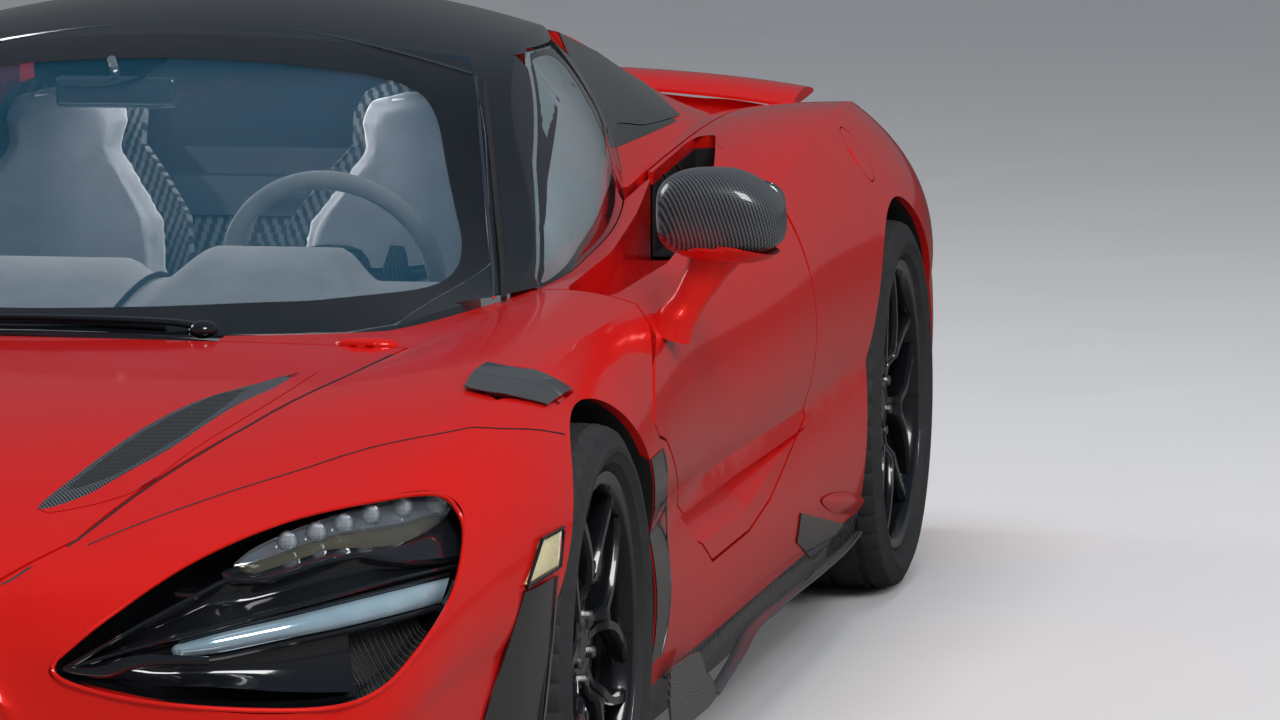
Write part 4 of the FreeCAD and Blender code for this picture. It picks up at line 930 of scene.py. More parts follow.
def mirror(side):
    """Door mirror: carbon cap over a red shell on a swept arm, with its glass."""
    hand = hand_of(side)
    body = "door_" + hand

    def shell(centre, size, boxy, low, high, back):
        form = ball(centre, size, boxy, 48, 32)
        for z, keep_up in ((low, True), (high, False)):
            if z is not None:
                bmesh.ops.bisect_plane(form, geom=form.verts[:] + form.edges[:] + form.faces[:], plane_co=(0, 0, z),
                                       plane_no=(0, 0.10, 1), clear_inner=keep_up, clear_outer=not keep_up)
        for v in form.verts:
            if v.co.x < back:
                v.co.x = back
            out = max((v.co.y - centre[1]) / size[1], 0)
            v.co.z = centre[2] + (v.co.z - centre[2]) * (1 - 0.26 * out ** 1.6) - 0.016 * out ** 2
            v.co.y -= 0.012 * max((v.co.z - centre[2]) / size[2], 0) ** 2 * out
        return form

    cap = shell((0.490, 0.980, 0.897), (0.080, 0.0993, 0.069), 0.62, None, None, 0.428)
    piece("mirror_cap_" + hand, sided(cap, side), CARBON, body, replaces=["mirror_" + hand])
    low = shell((0.490, 0.980, 0.880), (0.083, 0.0993, 0.068), 0.72, None, 0.946, 0.426)
    for v in low.verts:
        share = min(max((v.co.y - 0.90) / 0.16, 0), 1)
        v.co.z += 0.014 * (1 - share)
        if v.co.z > 0.846:
            v.co.x = 0.490 + (v.co.x - 0.490) * 0.9
            v.co.y = 0.984 + (v.co.y - 0.984) * 0.95
    piece("mirror_shell_" + hand, sided(low, side), PAINT, body)
    centres = mm([(500, 972, 836), (503, 955, 800), (509, 932, 762), (515, 913, 732), (518, 900, 706)])
    wide = [0.042, 0.030, 0.027, 0.031, 0.036]
    deep = [0.026, 0.024, 0.028, 0.036, 0.040]

    def arm(u, v):
        turn = 2 * math.pi * u
        return along(centres, v) + Vector((table(deep, v) * math.cos(turn), table(wide, v) * math.sin(turn),
                                           -0.35 * table(wide, v) * math.sin(turn)))
    piece("mirror_arm_" + hand, sided(surface(arm, 24, 20), side), PAINT, body)
    face = ball((0.4262, 0.981, 0.893), (0.003, 0.090, 0.052), 0.6, 32, 12)
    piece("mirror_face_" + hand, sided(face, side), MIRROR, body)


# Wheels and tyres
WHEELS = {"fl": (1.187, 0.828, 0.327, 0.245, 0.2413, 0.008), "fr": (1.187, -0.828, 0.327, 0.245, 0.2413, 0.008),
          "rl": (-1.483, 0.806, 0.3455, 0.305, 0.254, 0.010), "rr": (-1.483, -0.806, 0.3455, 0.305, 0.254, 0.010)}
FORK_TURN = {"f": 20.0, "r": 45.5}


def tyre_form(r, width, bead):
    """Tyre with four grooves round its tread, stepped sidewalls and cut shoulders."""
    half = width / 2
    seat = half - 0.024
    flange = bead + 0.019
    side = (r + flange) / 2
    profile = [(bead + 0.0005, seat), (flange, seat + 0.001), (flange + 0.006, seat + 0.009),
               (flange + 0.010, half - 0.0080), (side - 0.010, half - 0.0015), (side - 0.009, half - 0.0004),
               (side, half - 0.0002), (side + 0.001, half - 0.0016), (r - 0.026, half - 0.0045),
               (r - 0.017, half - 0.0085), (r - 0.009, half - 0.013), (r - 0.0045, half - 0.022),
               (r - 0.0025, half - 0.034)]
    tread = []
    for place in (0.33, 0.11):
        y = half * 2 * place
        tread += [(r - 0.0006 - 0.002 * place, y + 0.0062), (r - 0.0075, y + 0.0048), (r - 0.0075, y - 0.0048),
                  (r - 0.0005 - 0.002 * place, y - 0.0062)]
    half_ring = profile + tread
    ring = [Vector((a, b, 0)) for a, b in half_ring] + [Vector((a, -b, 0)) for a, b in half_ring[::-1]]
    sides = 240

    def place(u, v):
        rr, y = along(ring, v, True, True)[:2]
        step = round(u * sides) % 5
        if step == 0 and r - 0.022 < rr < r - 0.0008 and abs(y) > half * 0.68:
            rr -= 0.0035
        turn = 2 * math.pi * u
        return Vector((rr * math.cos(turn), y, rr * math.sin(turn)))
    return surface(place, sides, len(ring))


def barrel_form(width, bead):
    half = width / 2
    seat = half - 0.0237
    lip = seat + 0.007
    flange = bead + 0.016
    outer = [(bead, seat), (flange - 0.002, seat), (flange, seat + 0.002), (flange, lip - 0.002),
             (flange - 0.002, lip), (bead + 0.004, lip), (bead - 0.003, lip - 0.003), (bead - 0.009, lip - 0.012),
             (bead - 0.012, lip - 0.034), (bead - 0.013, 0.0)]
    back = [(bead - 0.013, 0.030 - lip), (bead - 0.010, -lip), (flange, -lip), (flange, -seat), (bead, -seat),
            (bead - 0.004, 0.0)]
    return spun([Vector((a, b, 0)) for a, b in outer + back], 120)


SPOKE_SECTION = mm([(-1000, -220, 0), (-680, 0, 0), (680, 0, 0), (1000, -220, 0), (860, -700, 0), (550, -1000, 0),
                    (-550, -1000, 0), (-860, -700, 0)])


def spoke_form(bead, lip, middle, way):
    """One prong of a forked spoke: beside its twin from the hub to the fork, then out to the rim."""
    def polar(r, degrees):
        turn = math.radians(degrees)
        return Vector((r * math.cos(turn), 0, r * math.sin(turn)))

    fork = 0.43 * bead
    path = [polar(0.050, middle + way * 9.0), polar(0.078, middle + way * 7.5), polar(fork, middle + way * 7.0),
            polar(0.62 * bead, middle + way * 15.0), polar(0.82 * bead, middle + way * 23.5),
            polar(bead - 0.007, middle + way * 28.5)]
    wide = [0.0085, 0.0080, 0.0095, 0.0085, 0.0085, 0.0120]
    front = [lip - 0.031, lip - 0.027, lip - 0.011, lip - 0.008, lip - 0.007, lip - 0.008]
    deep = [0.030, 0.032, 0.036, 0.034, 0.030, 0.026]

    def place(u, v):
        section = along(SPOKE_SECTION, u, True, True)
        at = along(path, v)
        ahead = (along(path, min(v + 0.02, 1)) - along(path, max(v - 0.02, 0))).normalized()
        aside = Vector((-ahead.z, 0, ahead.x))
        out = table(front, v) + section.y * table(deep, v)
        return at + aside * (section.x * table(wide, v)) + Vector((0, out, 0))
    return surface(place, 16, 24)


def spoke_web(bead, lip, middle):
    """Sunk floor between the twin prongs, ending in a rounded crotch."""
    turn = math.radians(middle)
    out = Vector((math.cos(turn), 0, math.sin(turn)))
    aside = Vector((-math.sin(turn), 0, math.cos(turn)))
    rows = [(0.050, 0.010, 0.042), (0.080, 0.010, 0.036), (0.40 * bead, 0.011, 0.019), (0.47 * bead, 0.014, 0.012),
            (0.52 * bead, 0.015, 0.014)]

    def place(u, v):
        r, wide, sunk = [along(mm([(1000 * row[k], 0, 0) for row in rows]), v).x for k in range(3)]
        return out * r + aside * (wide * (2 * u - 1)) + Vector((0, lip - sunk, 0))
    return thick(surface(place, 8, 16), 0.012)


def wheel_pieces(key):
    x, y, r, width, bead, disc_at = WHEELS[key]
    side = 1 if y > 0 else -1
    body = "wheel_" + key
    at = Vector((x, y, r))

    def add(name, bm, material, slot, replaces=()):
        return piece("%s_%s" % (name, key), moved(sided(bm, side), at), material, body, replaces, 30.0)

    add("tyre_form", tyre_form(r, width, bead), RUBBER, "tyre", ["tyre_" + key])
    seat = width / 2 - 0.0237
    lip = seat + 0.007
    face = lip - 0.032
    arms = []
    for fork in range(5):
        middle = 72 * fork + FORK_TURN[key[0]]
        arms.append(spoke_web(bead, lip, middle))
        for way in (-1, 1):
            arms.append(spoke_form(bead, lip, middle, way))
    hub = spun([Vector((a, b, 0)) for a, b in ((0.0305, 0.012), (0.0305, face - 0.004), (0.034, face),
                                               (0.060, face + 0.001), (0.072, face - 0.006), (0.080, face - 0.022),
                                               (0.080, disc_at + 0.030), (0.060, disc_at + 0.012))], 60)
    cap = ball((0, face - 0.002, 0), (0.0295, 0.008, 0.0295), 1.0, 32, 12)
    bolts = []
    for i in range(5):
        turn = math.radians(72 * i + 54)
        place = Vector((0.050 * math.cos(turn), face + 0.002, 0.050 * math.sin(turn)))
        bolts.append(moved(spun([Vector((a, b, 0)) for a, b in ((0.0005, 0.009), (0.0075, 0.009), (0.0095, 0.006),
                                                                (0.0095, -0.006), (0.0005, -0.006))], 12), place))
    add("wheel_form", merged(barrel_form(width, bead), hub, *arms), WHEEL, "wheel_black", ["wheel_" + key])
    add("wheel_bolts", merged(cap, *bolts), STEEL, "alloy")
    disc = spun([Vector((a, b, 0)) for a, b in ((0.085, disc_at), (0.197, disc_at), (0.197, disc_at + 0.011),
                                                (0.190, disc_at + 0.012), (0.190, disc_at + 0.016),
                                                (0.197, disc_at + 0.017), (0.197, disc_at + 0.028),
                                                (0.085, disc_at + 0.028))], 96)
    add("brake_disc", disc, STEEL, "alloy")
    # Bright ring on the rim's lip: a painted highlight where the lip catches the light.
    edge = spun([Vector((a, b, 0)) for a, b in ((bead + 0.0125, lip + 0.0002), (bead + 0.0148, lip + 0.0004),
                                                (bead + 0.0156, lip - 0.0022), (bead + 0.0125, lip - 0.0012))], 120)
    add("rim_lip_highlight", edge, BRIGHT_TRIM_AND_HIGHLIGHTS, "alloy")


# Cabin
STEER_AT = Vector((0.300, 0.310, 0.765))
STEER_WAY = Vector((math.cos(math.radians(20)), 0, -math.sin(math.radians(20))))
STEER_UP = Vector((math.sin(math.radians(20)), 0, math.cos(math.radians(20))))
ACROSS = Vector((0, 1, 0))


def steering():
    """Suede rim with a flat foot, three spokes and a padded boss."""
    ring = []
    for i in range(48):
        turn = 2 * math.pi * i / 48
        up = max(math.sin(turn) * 0.170, -0.152)
        ring.append(STEER_AT + ACROSS * (0.170 * math.cos(turn)) + STEER_UP * up)
    rim = rod(ring, 0.0155, 14, 144, closed=True, up=STEER_WAY)
    piece("steering_rim", rim, SUEDE, "steering_wheel", replaces=["steering_wheel"])
    bars = []
    for a in (0.165, -0.165):
        way = [STEER_AT + STEER_WAY * 0.006, STEER_AT + ACROSS * (a * 0.5) + STEER_WAY * 0.004,
               STEER_AT + ACROSS * a + STEER_UP * 0.012]
        bars.append(rod(way, [0.030, 0.018, 0.013], 12, 14, flat=0.45, up=STEER_WAY))
    bars.append(rod([STEER_AT + STEER_WAY * 0.006, STEER_AT - STEER_UP * 0.152], [0.026, 0.016], 12, 10, flat=0.4,
                    up=STEER_WAY))
    piece("steering_spokes", merged(*bars), GLOSS, "steering_wheel")
    boss = ball((0, 0, 0), (0.030, 0.062, 0.052), 0.7)
    turn = Matrix.Rotation(math.radians(20), 4, "Y")
    bmesh.ops.transform(boss, matrix=Matrix.Translation(STEER_AT) @ turn, verts=boss.verts)
    piece("steering_boss", boss, LEATHER, "steering_wheel")
    pads = []
    for y in (-1, 1):
        way = [STEER_AT + ACROSS * (y * out) + STEER_WAY * 0.030 + STEER_UP * rise
               for out, rise in ((0.085, -0.035), (0.112, 0.030), (0.118, 0.070))]
        pads.append(rod(way, [0.012, 0.020, 0.012], 10, 16, flat=0.25, up=STEER_WAY))
    piece("shift_pads", merged(*pads), CARBON, "steering_wheel")


def smooth_step(value, start, end):
    share = min(max((value - start) / (end - start), 0.0), 1.0)
    return share * share * (3 - 2 * share)


def dash_cover():
    """Suede dash top with the instrument hood and the passenger's swell."""
    top = mm([(876, 0, 732), (800, 0, 750), (700, 0, 770), (600, 0, 781), (520, 0, 778), (474, 0, 764),
              (455, 0, 735), (452, 0, 700)])

    def place(u, v):
        y = -0.586 + 1.172 * u
        p = along(top, v)
        hood = smooth_step(y, 0.105, 0.185) * (1 - smooth_step(y, 0.375, 0.440))
        swell = smooth_step(y, -0.50, -0.42) * (1 - smooth_step(y, 0.035, 0.085))
        reach = math.sin(math.pi * min(max((v - 0.10) / 0.80, 0), 1)) ** 0.8
        lift = reach * (0.050 * hood + 0.030 * swell)
        push = -0.02 * reach * hood
        return Vector((p.x + push, y, p.z + 0.005 + lift))
    piece("dash_top", surface(place, 96, 28), SUEDE, "chassis")
    seam = rod(mm([(860, 88, 744), (760, 92, 772), (640, 92, 790), (540, 92, 790), (478, 92, 772)]), 0.0045, 8, 20)
    piece("dash_seam", seam, LEATHER, "chassis")
    screen = block((0.447, 0.290, 0.800), (0.012, 0.210, 0.050))
    centre = block((0.452, 0.0, 0.690), (0.014, 0.150, 0.170))
    piece("dash_screens", merged(screen, centre), GLOSS, "chassis")
    outlets = []
    for y in (-0.500, -0.180, 0.180, 0.520):
        ends = [Vector((0.450, y - 0.045, 0.728)), Vector((0.450, y + 0.045, 0.728))]
        outlets.append(rod(ends, 0.016, 12, 4, flat=0.6))
    piece("dash_outlets", merged(*outlets), TRIM, "chassis")


def cabin_mirror():
    glass = block((0.200, -0.076, 1.049), (0.022, 0.205, 0.052), 0.010, 4)
    stalk = rod(mm([(204, -76, 1070), (200, -80, 1088), (180, -90, 1100)]), 0.008, 8, 10)
    piece("cabin_mirror", merged(glass, stalk), SILVER, "chassis")
    face = block((0.188, -0.076, 1.049), (0.003, 0.192, 0.042), 0.0012, 2)
    piece("cabin_mirror_face", face, MIRROR, "chassis")
    tree = target("windscreen")
    ring = [(172, -224), (62, -240), (58, -135), (78, -20), (190, -16), (250, -88), (230, -186)]
    ring = [Vector((x, y, 0)) / 1000 for x, y in ring]
    middle = sum(ring, Vector()) / len(ring)

    def place(u, v):
        p = along(ring, u, True).lerp(middle, v)
        hit = onto(tree, Vector((p.x, p.y, 1.6)), Vector((0, 0, -1)), 0.0)
        return hit - Vector((0, 0, 0.014 + 0.016 * smooth_step(v, 0, 0.4)))
    piece("sensor_cover", surface(place, 48, 10), TRIM, "chassis")


SEAT_Y = 0.315
SHELL = [
    # height up the back, x of its face, half width, how far the sides come forward
    (0.300, -0.165, 0.232, 0.085),
    (0.420, -0.205, 0.236, 0.095),
    (0.560, -0.240, 0.240, 0.080),
    (0.700, -0.270, 0.238, 0.060),
    (0.800, -0.292, 0.222, 0.045),
    (0.870, -0.310, 0.170, 0.030),
    (0.920, -0.322, 0.128, 0.022),
    (0.975, -0.334, 0.130, 0.020),
    (1.010, -0.342, 0.112, 0.014),
    (1.028, -0.350, 0.070, 0.008),
]
CUSHION = [
    # along the base, z of its face, half width, how far the sides come up
    (-0.190, 0.330, 0.225, 0.060),
    (-0.050, 0.322, 0.232, 0.070),
    (0.120, 0.326, 0.234, 0.066),
    (0.260, 0.338, 0.226, 0.050),
    (0.345, 0.322, 0.212, 0.020),
    (0.366, 0.280, 0.205, 0.004),
]
SWELL_STEPS = 20
SWELL_PRESSURE = 4.0
SWELL_CAP = 0.016
VOXEL = 0.0075


def row_at(rows, v):
    share = min(max(v, 0), 1) * (len(rows) - 1)
    i = min(int(share), len(rows) - 2)
    part = share - i
    soft = part * part * (3 - 2 * part)
    return [a + (b - a) * soft for a, b in zip(rows[i], rows[i + 1])]


def back_place(u, v, forward=0.0, spread=1.0):
    z, x, half, wing = row_at(SHELL, v)
    across = 2 * u - 1
    curl = abs(across) ** 3 * wing
    return Vector((x + curl + forward, across * half * spread, z))


def base_place(u, v, rise=0.0, spread=1.0):
    x, z, half, wing = row_at(CUSHION, v)
    across = 2 * u - 1
    curl = abs(across) ** 3 * wing
    return Vector((x, across * half * spread, z + curl + rise))


def swelled(name, bm):
    """Cloth blown up a little from its cut form, on a fine even mesh."""
    mesh = bpy.data.meshes.new(name + "_cut")
    bm.to_mesh(mesh)
    bm.free()
    o = bpy.data.objects.new(name + "_cut", mesh)
    bpy.context.scene.collection.objects.link(o)
    remesh = o.modifiers.new("even", "REMESH")
    remesh.mode = "VOXEL"
    remesh.voxel_size = VOXEL
    graph = bpy.context.evaluated_depsgraph_get()
    even = bpy.data.meshes.new_from_object(o.evaluated_get(graph))
    o.modifiers.clear()
    o.data = even
    start = [v.co.copy() for v in even.vertices]
    cloth = o.modifiers.new("swell", "CLOTH")
    cloth.settings.use_pressure = True
    cloth.settings.uniform_pressure_force = SWELL_PRESSURE
    cloth.settings.effector_weights.gravity = 0.0
    cloth.settings.quality = 4
    scene = bpy.context.scene
    for step in range(1, SWELL_STEPS + 1):
        scene.frame_set(step)
    graph = bpy.context.evaluated_depsgraph_get()
    blown = bpy.data.meshes.new_from_object(o.evaluated_get(graph))
    o.modifiers.clear()
    for v, blow, first in zip(even.vertices, blown.vertices, start):
        shift = blow.co - first
        if shift.length > SWELL_CAP:
            shift *= SWELL_CAP / shift.length
        v.co = first + shift
    scene.frame_set(1)
    form = bmesh.new()
    form.from_mesh(o.data)
    bmesh.ops.smooth_vert(form, verts=form.verts, factor=0.5, use_axis_x=True, use_axis_y=True, use_axis_z=True)
    bpy.data.objects.remove(o)
    return form


def padded_slab(place, thickness):
    """A closed pad: a front sheet and a back sheet joined round their rim."""
    return thick(surface(place, 24, 24), thickness)


def seats():
    """Bucket shells with suede bolsters and lighter padded centres."""
    shell = merged(thick(surface(lambda u, v: back_place(u, v, -0.030, 1.0), 32, 36), 0.012),
                   thick(surface(lambda u, v: base_place(u, v, -0.050, 1.0), 28, 20), 0.012))
    pads = {
        "seat_back": padded_slab(lambda u, v: back_place(u, 0.04 + 0.90 * v, -0.004, 0.90), 0.030),
        "seat_base": padded_slab(lambda u, v: base_place(u, 0.02 + 0.90 * v, -0.010, 0.92), 0.040),
    }
    made = {name: swelled(name, bm) for name, bm in pads.items()}

    def crown(u, v):
        return 0.006 * math.sin(math.pi * u) * math.sin(math.pi * v)

    inserts = merged(
        thick(surface(lambda u, v: back_place(0.26 + 0.48 * u, 0.05 + 0.80 * v, 0.019 + crown(u, v)), 20, 30), 0.006),
        thick(surface(lambda u, v: base_place(0.24 + 0.52 * u, 0.12 + 0.72 * v, 0.015 + crown(u, v)), 20, 20), 0.006))
    seams = []
    for edge in (0.25, 0.75):
        seams.append(rod([back_place(edge, 0.05 + 0.80 * k / 10, 0.022) for k in range(11)], 0.0022, 6, 40))
        seams.append(rod([base_place(edge, 0.12 + 0.72 * k / 8, 0.019) for k in range(9)], 0.0022, 6, 30))
    seam = merged(*seams)
    foot = merged(block((0.07, -0.17, 0.215), (0.44, 0.05, 0.13)), block((0.07, 0.17, 0.215), (0.44, 0.05, 0.13)))
    belts = merged(
        rod([Vector((-0.300, 0.205, 0.80)), Vector((-0.215, 0.215, 0.62)), Vector((-0.150, 0.225, 0.42)),
             Vector((-0.120, 0.228, 0.36))], 0.022, 8, 20, flat=0.06, up=Vector((1, 0.3, 0))),
    )
    for hand, y in (("left", SEAT_Y), ("right", -SEAT_Y)):
        at = Vector((0, y, 0))
        first = ["seats"] if hand == "left" else []
        piece("seat_shell_" + hand, moved(shell.copy(), at), CARBON_DARK, "chassis", replaces=first)
        for name, form in made.items():
            o = piece("%s_%s" % (name, hand), moved(form.copy(), at), SUEDE_DARK, "chassis", crease=60)
        o = piece("seat_centre_" + hand, moved(inserts.copy(), at), SUEDE_SEAT, "chassis")
        piece("seat_seams_" + hand, moved(seam.copy(), at), LEATHER, "chassis")
        piece("seat_rails_" + hand, moved(foot.copy(), at), TRIM, "chassis")
        belt = belts.copy() if y > 0 else flipped(belts)
        piece("seat_belt_" + hand, moved(belt, at), LEATHER, "chassis")


# Black parts that close in the wheels, the fins and the shut line of the nose
ARCHES = {"front": (1.187, 0.327, 0.362, "front_wing_left", "front_bumper"),
          "rear": (-1.483, 0.3455, 0.388, "rear_quarter_left", "rear_fascia")}


def arch_rings(side):
    """Black liner just inside the painted edge of each arch."""
    hand = hand_of(side)
    for name, (x, z, r, *panels) in ARCHES.items():
        tree = target(*panels)

        def place(u, v):
            turn = math.radians(-22 + 224 * u)
            way = Vector((math.cos(turn), 0, math.sin(turn)))
            outside = Vector((x, 1.3, z)) + way * (r + 0.005)
            hit = tree.ray_cast(outside, Vector((0, -1, 0)))[0]
            edge = 0.93 if hit is None or hit.y < 0.80 else hit.y
            lip = 0.001 if name == "front" and 137 < math.degrees(turn) < 202 else 0.012
            return Vector((x, 0.60 + (edge - lip - 0.60) * v, z)) + way * (r - 0.0015)
        piece("arch_liner_%s_%s" % (name, hand), sided(surface(place, 120, 10), side), TRIM, "chassis")


BEHIND_WHEEL = [((912, 937), (790, 945), 566), ((887, 940), (757, 944), 531), ((851, 940), (700, 938), 466),
                ((831, 940), (680, 934), 402), ((823.5, 938), (690, 935), 339), ((826.5, 936), (706, 935), 279),
                ((834, 933), (728, 929), 240)]


def wheel_flaps(side):
    """Gloss strip behind the front wheel, and a bright rod along the edge of the blade next to it as a painted
    highlight.
    """
    hand = hand_of(side)
    tree = target("front_wing_left", "door_left")
    front = mm([(*a, z) for a, b, z in BEHIND_WHEEL])
    rear = mm([(*b, z) for a, b, z in BEHIND_WHEEL])

    def place(u, v):
        return near_onto(tree, along(front, v).lerp(along(rear, v), u), Vector((0, -1, 0)), 0.0016)
    piece("wheel_strip_" + hand, sided(surface(place, 10, 40), side), GLOSS, "chassis")
    # Bright rod as a painted highlight along the blade's edge.
    edge = [near_onto(tree, p, Vector((0, -1, 0)), 0.0015) for p in rear]
    piece("blade_edge_highlight_" + hand, sided(rod(edge, 0.0018, 6, 40), side), BRIGHT_TRIM_AND_HIGHLIGHTS, "chassis")


FIN_FORM = [
    # x, then y and z of the outer foot, the outer ridge and the inner ridge
    (-0.437, 0.632, 0.846, 0.520, 1.108, 0.436, 1.124),
    (-0.800, 0.634, 0.862, 0.512, 1.048, 0.444, 1.058),
    (-1.150, 0.632, 0.874, 0.528, 0.966, 0.468, 0.972),
    (-1.500, 0.604, 0.876, 0.560, 0.892, 0.500, 0.893),
]
FIN_LOW = [(-446, 862), (-475, 868), (-520, 912), (-580, 938), (-667, 934), (-807, 920), (-991, 913), (-1150, 909)]


def fin_panels(side):
    """Black skin over the crest and the flank of each rear fin."""
    hand = hand_of(side)
    tree = target("tonneau_cover", "buttress_glass")
    low = mm([(x, 0, z) for x, z in FIN_LOW])

    def place(u, v):
        edge = along(low, u)
        for front, rear in zip(FIN_FORM, FIN_FORM[1:]):
            if edge.x >= rear[0]:
                break
        share = (front[0] - edge.x) / (front[0] - rear[0])
        row = [a + (b - a) * share for a, b in zip(front, rear)]
        foot, ridge, inner = Vector((edge.x, *row[1:3])), Vector((edge.x, *row[3:5])), Vector((edge.x, *row[5:7]))
        flank = ridge.lerp(foot, (ridge.z - edge.z) / (ridge.z - foot.z))
        if v < 0.25:
            at = inner.lerp(ridge, v / 0.25)
        else:
            at = ridge.lerp(flank, (v - 0.25) / 0.75)
        return tree.find_nearest(at)[0] + Vector((0, 0.0012, 0.0014))
    piece("fin_glass_" + hand, sided(surface(place, 60, 16), side), GLOSS, "tonneau")


MOUTH_END = [(-850, 652, 0), (-930, 655, 0), (-968, 664, 0), (-980, 676, 0), (-966, 690, 0), (-930, 703, 0),
             (-850, 722, 0)]
MOUTH_CORNERS = [[(-850, 650, 0), (-918, 650, 0), (-986, 650, 0), (-986, 676, 0)],
                 [(-986, 676, 0), (-986, 698, 0), (-918, 713, 0), (-850, 728, 0)]]


def intake_mouth(side):
    """Rounded rear end of the intake's mouth, and the cover of the bonnet's hinge."""
    hand = hand_of(side)
    tree = target("rear_quarter_left")

    def top(x, y):
        hit = tree.ray_cast(Vector((x, y, 1.2)), Vector((0, 0, -1)))[0]
        return hit.z if hit and hit.z > 0.82 else 0.88
    fills = []
    for curve, corner in ((MOUTH_END[:4], MOUTH_CORNERS[0]), (MOUTH_END[3:], MOUTH_CORNERS[1])):
        rim, edge = mm(curve), mm(corner)

        def place(u, v):
            far = along(edge, u, straight=True)
            near = along(rim, u)
            spot = near.lerp(far, v)
            return Vector((spot.x, spot.y, top(far.x, 0.650 if far.y < 0.672 else far.y + 0.004) + 0.0010))
        fills.append(surface(place, 24, 4))
    piece("intake_brow_" + hand, sided(merged(*fills), side), PAINT, "chassis")
    cover = ball((1.094, 0.562, 0.7530), (0.026, 0.048, 0.0115), 0.8)
    piece("hinge_cover_" + hand, sided(cover, side), PAINT, "chassis")


NOSE_SEAM = mm([(2098, 428, 600), (2023, 492, 624), (1934, 565, 647), (1825, 648, 668), (1714, 719, 685),
                (1600, 805, 695), (1515, 857, 689), (1419, 894, 676), (1352, 915, 661)])


def nose_seam(side):
    """Dark shut line between the nose and the wing."""
    hand = hand_of(side)
    tree = target("front_bumper", "front_wing_left")
    line = [near_onto(tree, along(NOSE_SEAM, i / 40), Vector((0, 0, -1)), 0.0002) for i in range(41)]
    piece("nose_seam_" + hand, sided(rod(line, 0.0012, 6, 120), side), TRIM, "chassis")


# Tail
TAILPIPE = Vector((-2.2962, 0.150, 0.545))
TAILPIPE_R = 0.0455


def tail_pieces():
    lines = []
    for z in (646, 664):
        lines.append(rod(mm([(-2268, 478, z), (-2264, 600, z), (-2252, 700, z), (-2240, 780, z)]), 0.003, 8, 30))
    piece("tail_light_lines", both(merged(*lines)), LAMP_RED, "chassis")
    turns = [math.pi * k / 12 for k in range(24)]
    ring = [TAILPIPE + Vector((0, math.cos(turn), math.sin(turn))) * TAILPIPE_R for turn in turns]
    tip = rod(ring, 0.0035, 10, 60, closed=True, up=Vector((1, 0, 0)))
    piece("exhaust_tips", both(tip), EXHAUST, "chassis")


def wing_apron():
    """Painted skirt that closes the gap under the tail wing's front edge."""
    tree = target("rear_deck", "rear_fascia", "rear_quarter_left", "rear_quarter_right")
    rise = [0.0, 0.018, 0.029, 0.037, 0.040, 0.037, 0.029, 0.018, 0.0]

    def place(u, v):
        y = -0.600 + 1.200 * u
        under = 0.848 + table(rise, 0.5 + y / 1.280)
        hit = tree.ray_cast(Vector((-2.075, y, under)), Vector((0, 0, -1)), 0.25)[0]
        low = (hit.z if hit else under - 0.05) + 0.0015
        return Vector((-2.072 - 0.016 * v, y, low + (max(under - 0.002, low) - low) * v))
    piece("wing_apron", thick(surface(place, 60, 4), 0.002), PAINT, "rear_wing")


# Stage
def make_camera():
    data = bpy.data.cameras.new("camera")
    data.lens = LENS
    data.sensor_width = 36.0
    data.clip_end = 200.0
    cam = bpy.data.objects.new("camera", data)
    bpy.context.scene.collection.objects.link(cam)
    look = Vector((math.cos(PITCH) * math.cos(YAW), math.cos(PITCH) * math.sin(YAW), math.sin(PITCH)))
    turn = look.to_track_quat("-Z", "Y").to_matrix() @ Matrix.Rotation(ROLL, 3, "Z")
    cam.matrix_world = Matrix.Translation(CAMERA_AT) @ turn.to_4x4()
    bpy.context.scene.camera = cam


CABIN_POWER = 15.0
LAMPS = [
    # name, place, size, power
    ("key", (6.0, 4.5, 7.0), 3.5, 420),
    ("side", (-1.0, 9.0, 4.5), 4.0, 260),
    ("top", (-1.5, 0.0, 8.0), 5.0, 320),
    ("far", (-3.0, -8.0, 5.0), 4.0, 200),
]


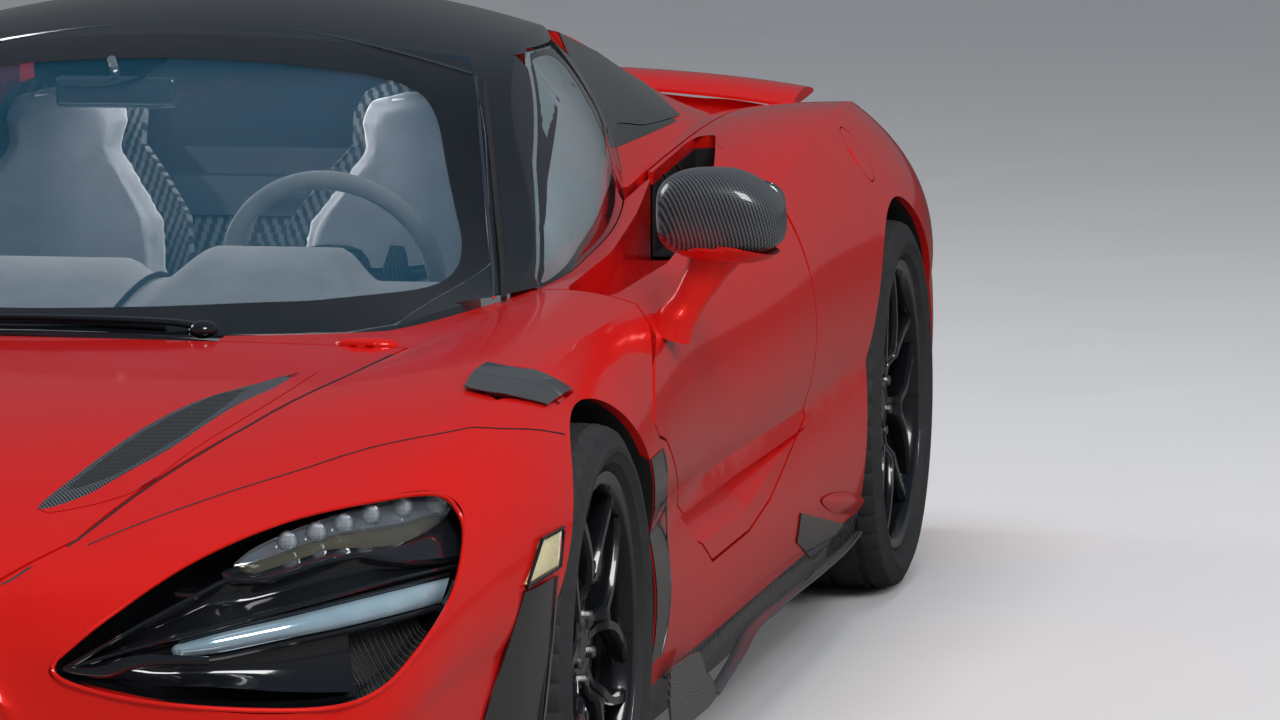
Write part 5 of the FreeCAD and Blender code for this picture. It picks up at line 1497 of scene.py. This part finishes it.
def make_stage():
    bm = bmesh.new()
    bmesh.ops.create_grid(bm, x_segments=1, y_segments=1, size=60)
    mesh = bpy.data.meshes.new("floor")
    bm.to_mesh(mesh)
    bm.free()
    floor = bpy.data.objects.new("floor", mesh)
    bpy.context.scene.collection.objects.link(floor)
    floor.location.z = -0.001
    ground, tree, shader = started("floor_pale", {"Roughness": 0.85, "Specular_IOR_Level": 0.2})
    grain = group_node(tree, GRAIN, 2.0)
    pale = mixed(tree, grain.outputs["Soft"], (0.56, 0.56, 0.565), (0.60, 0.60, 0.605))
    path = tree.nodes.new("ShaderNodeLightPath")
    mirrored = (0.095, 0.090, 0.085)
    tree.links.new(mixed(tree, path.outputs["Is Glossy Ray"], pale, mirrored), shader.inputs["Base Color"])
    mesh.materials.append(ground)
    world = bpy.data.worlds.new("studio")
    bpy.context.scene.world = world
    world.use_nodes = True
    tree = world.node_tree
    back = tree.nodes["Background"]
    path = tree.nodes.new("ShaderNodeLightPath")
    space = tree.nodes.new("ShaderNodeTexCoord")
    split = tree.nodes.new("ShaderNodeSeparateXYZ")
    tree.links.new(space.outputs["Generated"], split.inputs[0])
    sky = mixed(tree, ranged(tree, split.outputs[2], 0.0, 1.0), (0.125, 0.130, 0.135), (0.034, 0.058, 0.088))
    seen = mixed(tree, path.outputs["Is Camera Ray"], (0.42, 0.44, 0.47), (0.80, 0.81, 0.83))
    tree.links.new(mixed(tree, path.outputs["Is Glossy Ray"], seen, sky), back.inputs["Color"])
    back.inputs["Strength"].default_value = 0.9
    cabin = bpy.data.lights.new("cabin", "AREA")
    cabin.size = 0.5
    cabin.energy = CABIN_POWER
    o = bpy.data.objects.new("cabin", cabin)
    bpy.context.scene.collection.objects.link(o)
    o.location = (-0.13, 0.0, 1.045)
    o.visible_camera = False
    o.visible_glossy = False
    for name, at, size, power in LAMPS:
        lamp = bpy.data.lights.new(name, "AREA")
        lamp.size = size
        lamp.energy = power
        o = bpy.data.objects.new(name, lamp)
        bpy.context.scene.collection.objects.link(o)
        o.location = at
        o.rotation_euler = (Vector((0, 0, 0.4)) - Vector(at)).to_track_quat("-Z", "Y").to_euler()
        o.visible_glossy = name in ("key", "far")
    bpy.context.scene.view_settings.view_transform = "Standard"


for side in (1, -1):
    glass_surround(side)
    door_card(side)
    headlamp_pieces(side)
    bonnet_blade(side)
    bonnet_seam(side)
    louvres(side)
    corner_pieces(side)
    flank_pieces(side)
    mirror(side)
    arch_rings(side)
    wheel_flaps(side)
    fin_panels(side)
    nose_seam(side)
    intake_mouth(side)
for key in WHEELS:
    wheel_pieces(key)
screen_surround()
seals()
wiper()
steering()
dash_cover()
cabin_mirror()
seats()
tail_pieces()
wing_apron()
make_camera()
make_stage()
